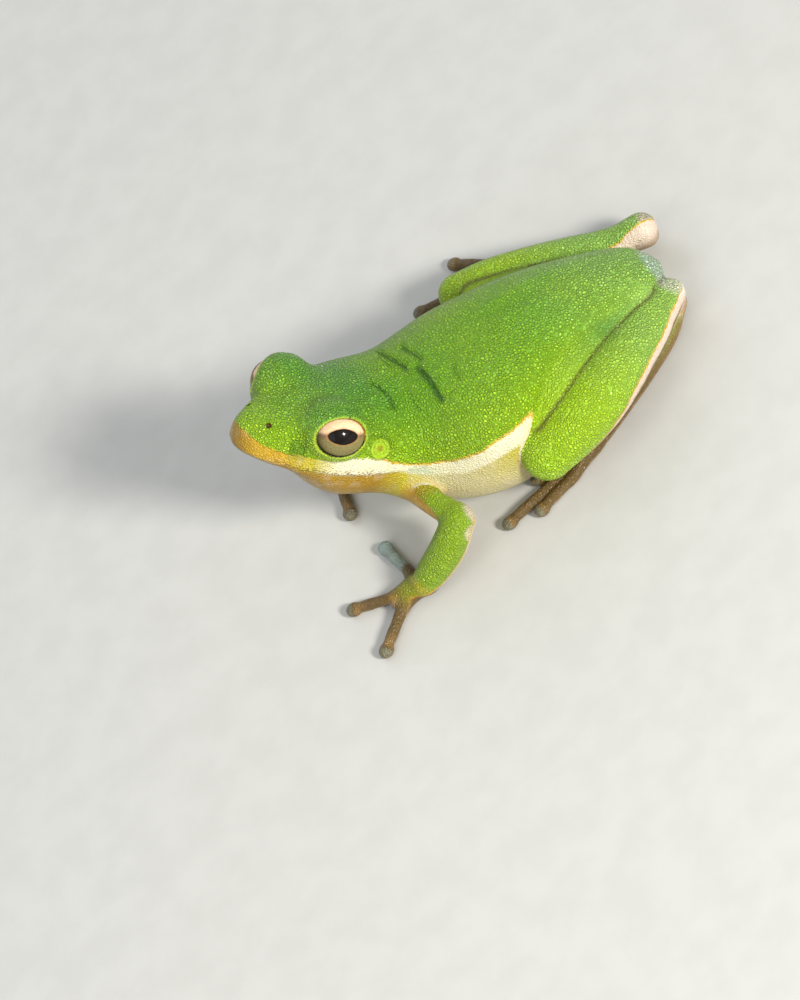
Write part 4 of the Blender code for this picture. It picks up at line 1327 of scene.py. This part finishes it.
def make_eye(name, side):
    """An eyeball whose points know where they lie on the coloured ring."""
    shape = bmesh.new()
    bmesh.ops.create_uvsphere(shape, u_segments=96, v_segments=64, radius=1.0)
    mesh = bpy.data.meshes.new(name)
    shape.to_mesh(mesh)
    shape.free()
    local = mesh_points(mesh) * np.array(EYE_RADII)
    if side > 0.0:
        mesh.flip_normals()
    add_attributes(mesh, {"eye_along": local[:, 0] - GAZE[0], "eye_rise": local[:, 1] - GAZE[1]})
    head_points = local @ eye_axes(side) + eye_place(EYE_CENTRE, side)
    set_points(mesh, (from_head(head_points) + MOVE) * MM)
    return add_object(name, mesh)


def add_object(name, mesh):
    made = bpy.data.objects.new(name, mesh)
    bpy.context.scene.collection.objects.link(made)
    for face in mesh.polygons:
        face.use_smooth = True
    return made


def standing_move():
    """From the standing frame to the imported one, read from where the left eye is."""
    low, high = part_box("eye_left")
    packed = np.array((low + high) / 2.0) / MM
    return packed - from_head(np.array(EYE_CENTRE))


# The photograph's view: angles and distance of the camera, its focal length in pixels, and the pixel
# at which the target shows
VIEW_AZIMUTH = 94.96
VIEW_ELEVATION = 45.17
VIEW_ROLL = 40.19
VIEW_TARGET = np.array((20.0, 0.0, 6.0))
VIEW_DISTANCE = 560.0
VIEW_FOCUS = 5320.0
TARGET_PIXEL = (487.38, 381.71)
FRAME_SIZE = (800, 1000)
SENSOR = 36.0


def view_axes():
    """Right, down and backward of the photograph's view."""
    roll = math.radians(VIEW_ROLL)
    back, level = ahead_and_left(VIEW_AZIMUTH, VIEW_ELEVATION)
    down = np.cross(-back, level)
    right = math.cos(roll) * level + math.sin(roll) * down
    down = -math.sin(roll) * level + math.cos(roll) * down
    return right, down, back


def add_camera():
    right, down, back = view_axes()
    spot = VIEW_TARGET + VIEW_DISTANCE * back + MOVE
    aim = -back + right * (FRAME_SIZE[0] / 2.0 - TARGET_PIXEL[0]) / VIEW_FOCUS
    aim = unit(aim + down * (FRAME_SIZE[1] / 2.0 - TARGET_PIXEL[1]) / VIEW_FOCUS)
    right = unit(right - aim * (right @ aim))
    up = np.cross(right, aim)
    data = bpy.data.cameras.new("view")
    data.sensor_width = SENSOR
    data.lens = VIEW_FOCUS * SENSOR / FRAME_SIZE[1]
    data.clip_start = 0.01
    data.clip_end = 20.0
    camera = bpy.data.objects.new("view", data)
    turn = Matrix((right, up, -aim)).transposed().to_4x4()
    camera.matrix_world = Matrix.Translation(Vector(spot * MM)) @ turn
    bpy.context.scene.collection.objects.link(camera)
    bpy.context.scene.camera = camera


FLOOR_HALF = 1.5
FLOOR_DARK = (0.60, 0.60, 0.58)
FLOOR_PALE = (0.63, 0.63, 0.61)
SKY = (0.97, 0.98, 1.0, 1.0)
SKY_STRENGTH = 0.42
LAMP_DISTANCE = 0.60


def add_light(name, way, size, power, colour):
    """A soft square lamp that faces the frog from the given side."""
    data = bpy.data.lights.new(name, "AREA")
    data.shape = "SQUARE"
    data.size = size
    data.energy = power
    data.color = colour
    lamp = bpy.data.objects.new(name, data)
    lamp.location = Vector(unit(np.array(way, float))) * LAMP_DISTANCE
    lamp.rotation_euler = (-lamp.location).to_track_quat("-Z", "Y").to_euler()
    bpy.context.scene.collection.objects.link(lamp)


def add_floor():
    mesh = bpy.data.meshes.new("floor")
    corners = [(x * FLOOR_HALF, y * FLOOR_HALF, 0.0) for x, y in ((-1, -1), (1, -1), (1, 1), (-1, 1))]
    mesh.from_pydata(corners, [], [(0, 1, 2, 3)])
    floor = add_object("floor", mesh)
    finish = Finish("studio_floor")
    speck = finish.ramp(finish.noise(finish.place(), 220.0, 3.0), 0.3, 0.7)
    finish.set(Base_Color=finish.mix(speck, FLOOR_DARK, FLOOR_PALE), Roughness=0.75)
    floor.data.materials.append(finish.material)


def add_studio():
    add_floor()
    world = bpy.data.worlds.new("studio")
    world.use_nodes = True
    sky = world.node_tree.nodes["Background"].inputs
    sky["Color"].default_value = SKY
    sky["Strength"].default_value = SKY_STRENGTH
    bpy.context.scene.world = world
    right, down, back = view_axes()
    add_light("key", back * 0.88 - down * 0.08 + right * 0.42, 0.10, 4.3, (1.0, 0.97, 0.88))
    add_light("fill", back * 0.8 - right * 0.5 + down * 0.25, 0.45, 0.9, (0.98, 0.99, 1.0))
    add_light("back", (0.3, -1.0, 0.8), 0.40, 0.8, (0.90, 0.96, 1.0))


def main():
    skin_mesh, points = make_skin()
    normals = np.empty(len(skin_mesh.vertices) * 3)
    skin_mesh.vertex_normals.foreach_get("vector", normals)
    add_attributes(skin_mesh, skin_paint(points, normals.reshape(-1, 3)))
    set_points(skin_mesh, (points + MOVE) * MM)
    skin = add_object("skin", skin_mesh)
    skin.data.materials.append(skin_material())
    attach(skin, "root")
    flesh = [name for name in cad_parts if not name.startswith("eye_")]
    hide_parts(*flesh)
    ball = eye_material()
    for name, side in (("eye_left", 1.0), ("eye_right", -1.0)):
        eye = make_eye("ball_" + name, side)
        eye.data.materials.append(ball)
        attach(eye, "root")
        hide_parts(name)
    add_studio()
    add_camera()
    bpy.context.scene.view_settings.view_transform = "Standard"


MOVE = standing_move()
main()
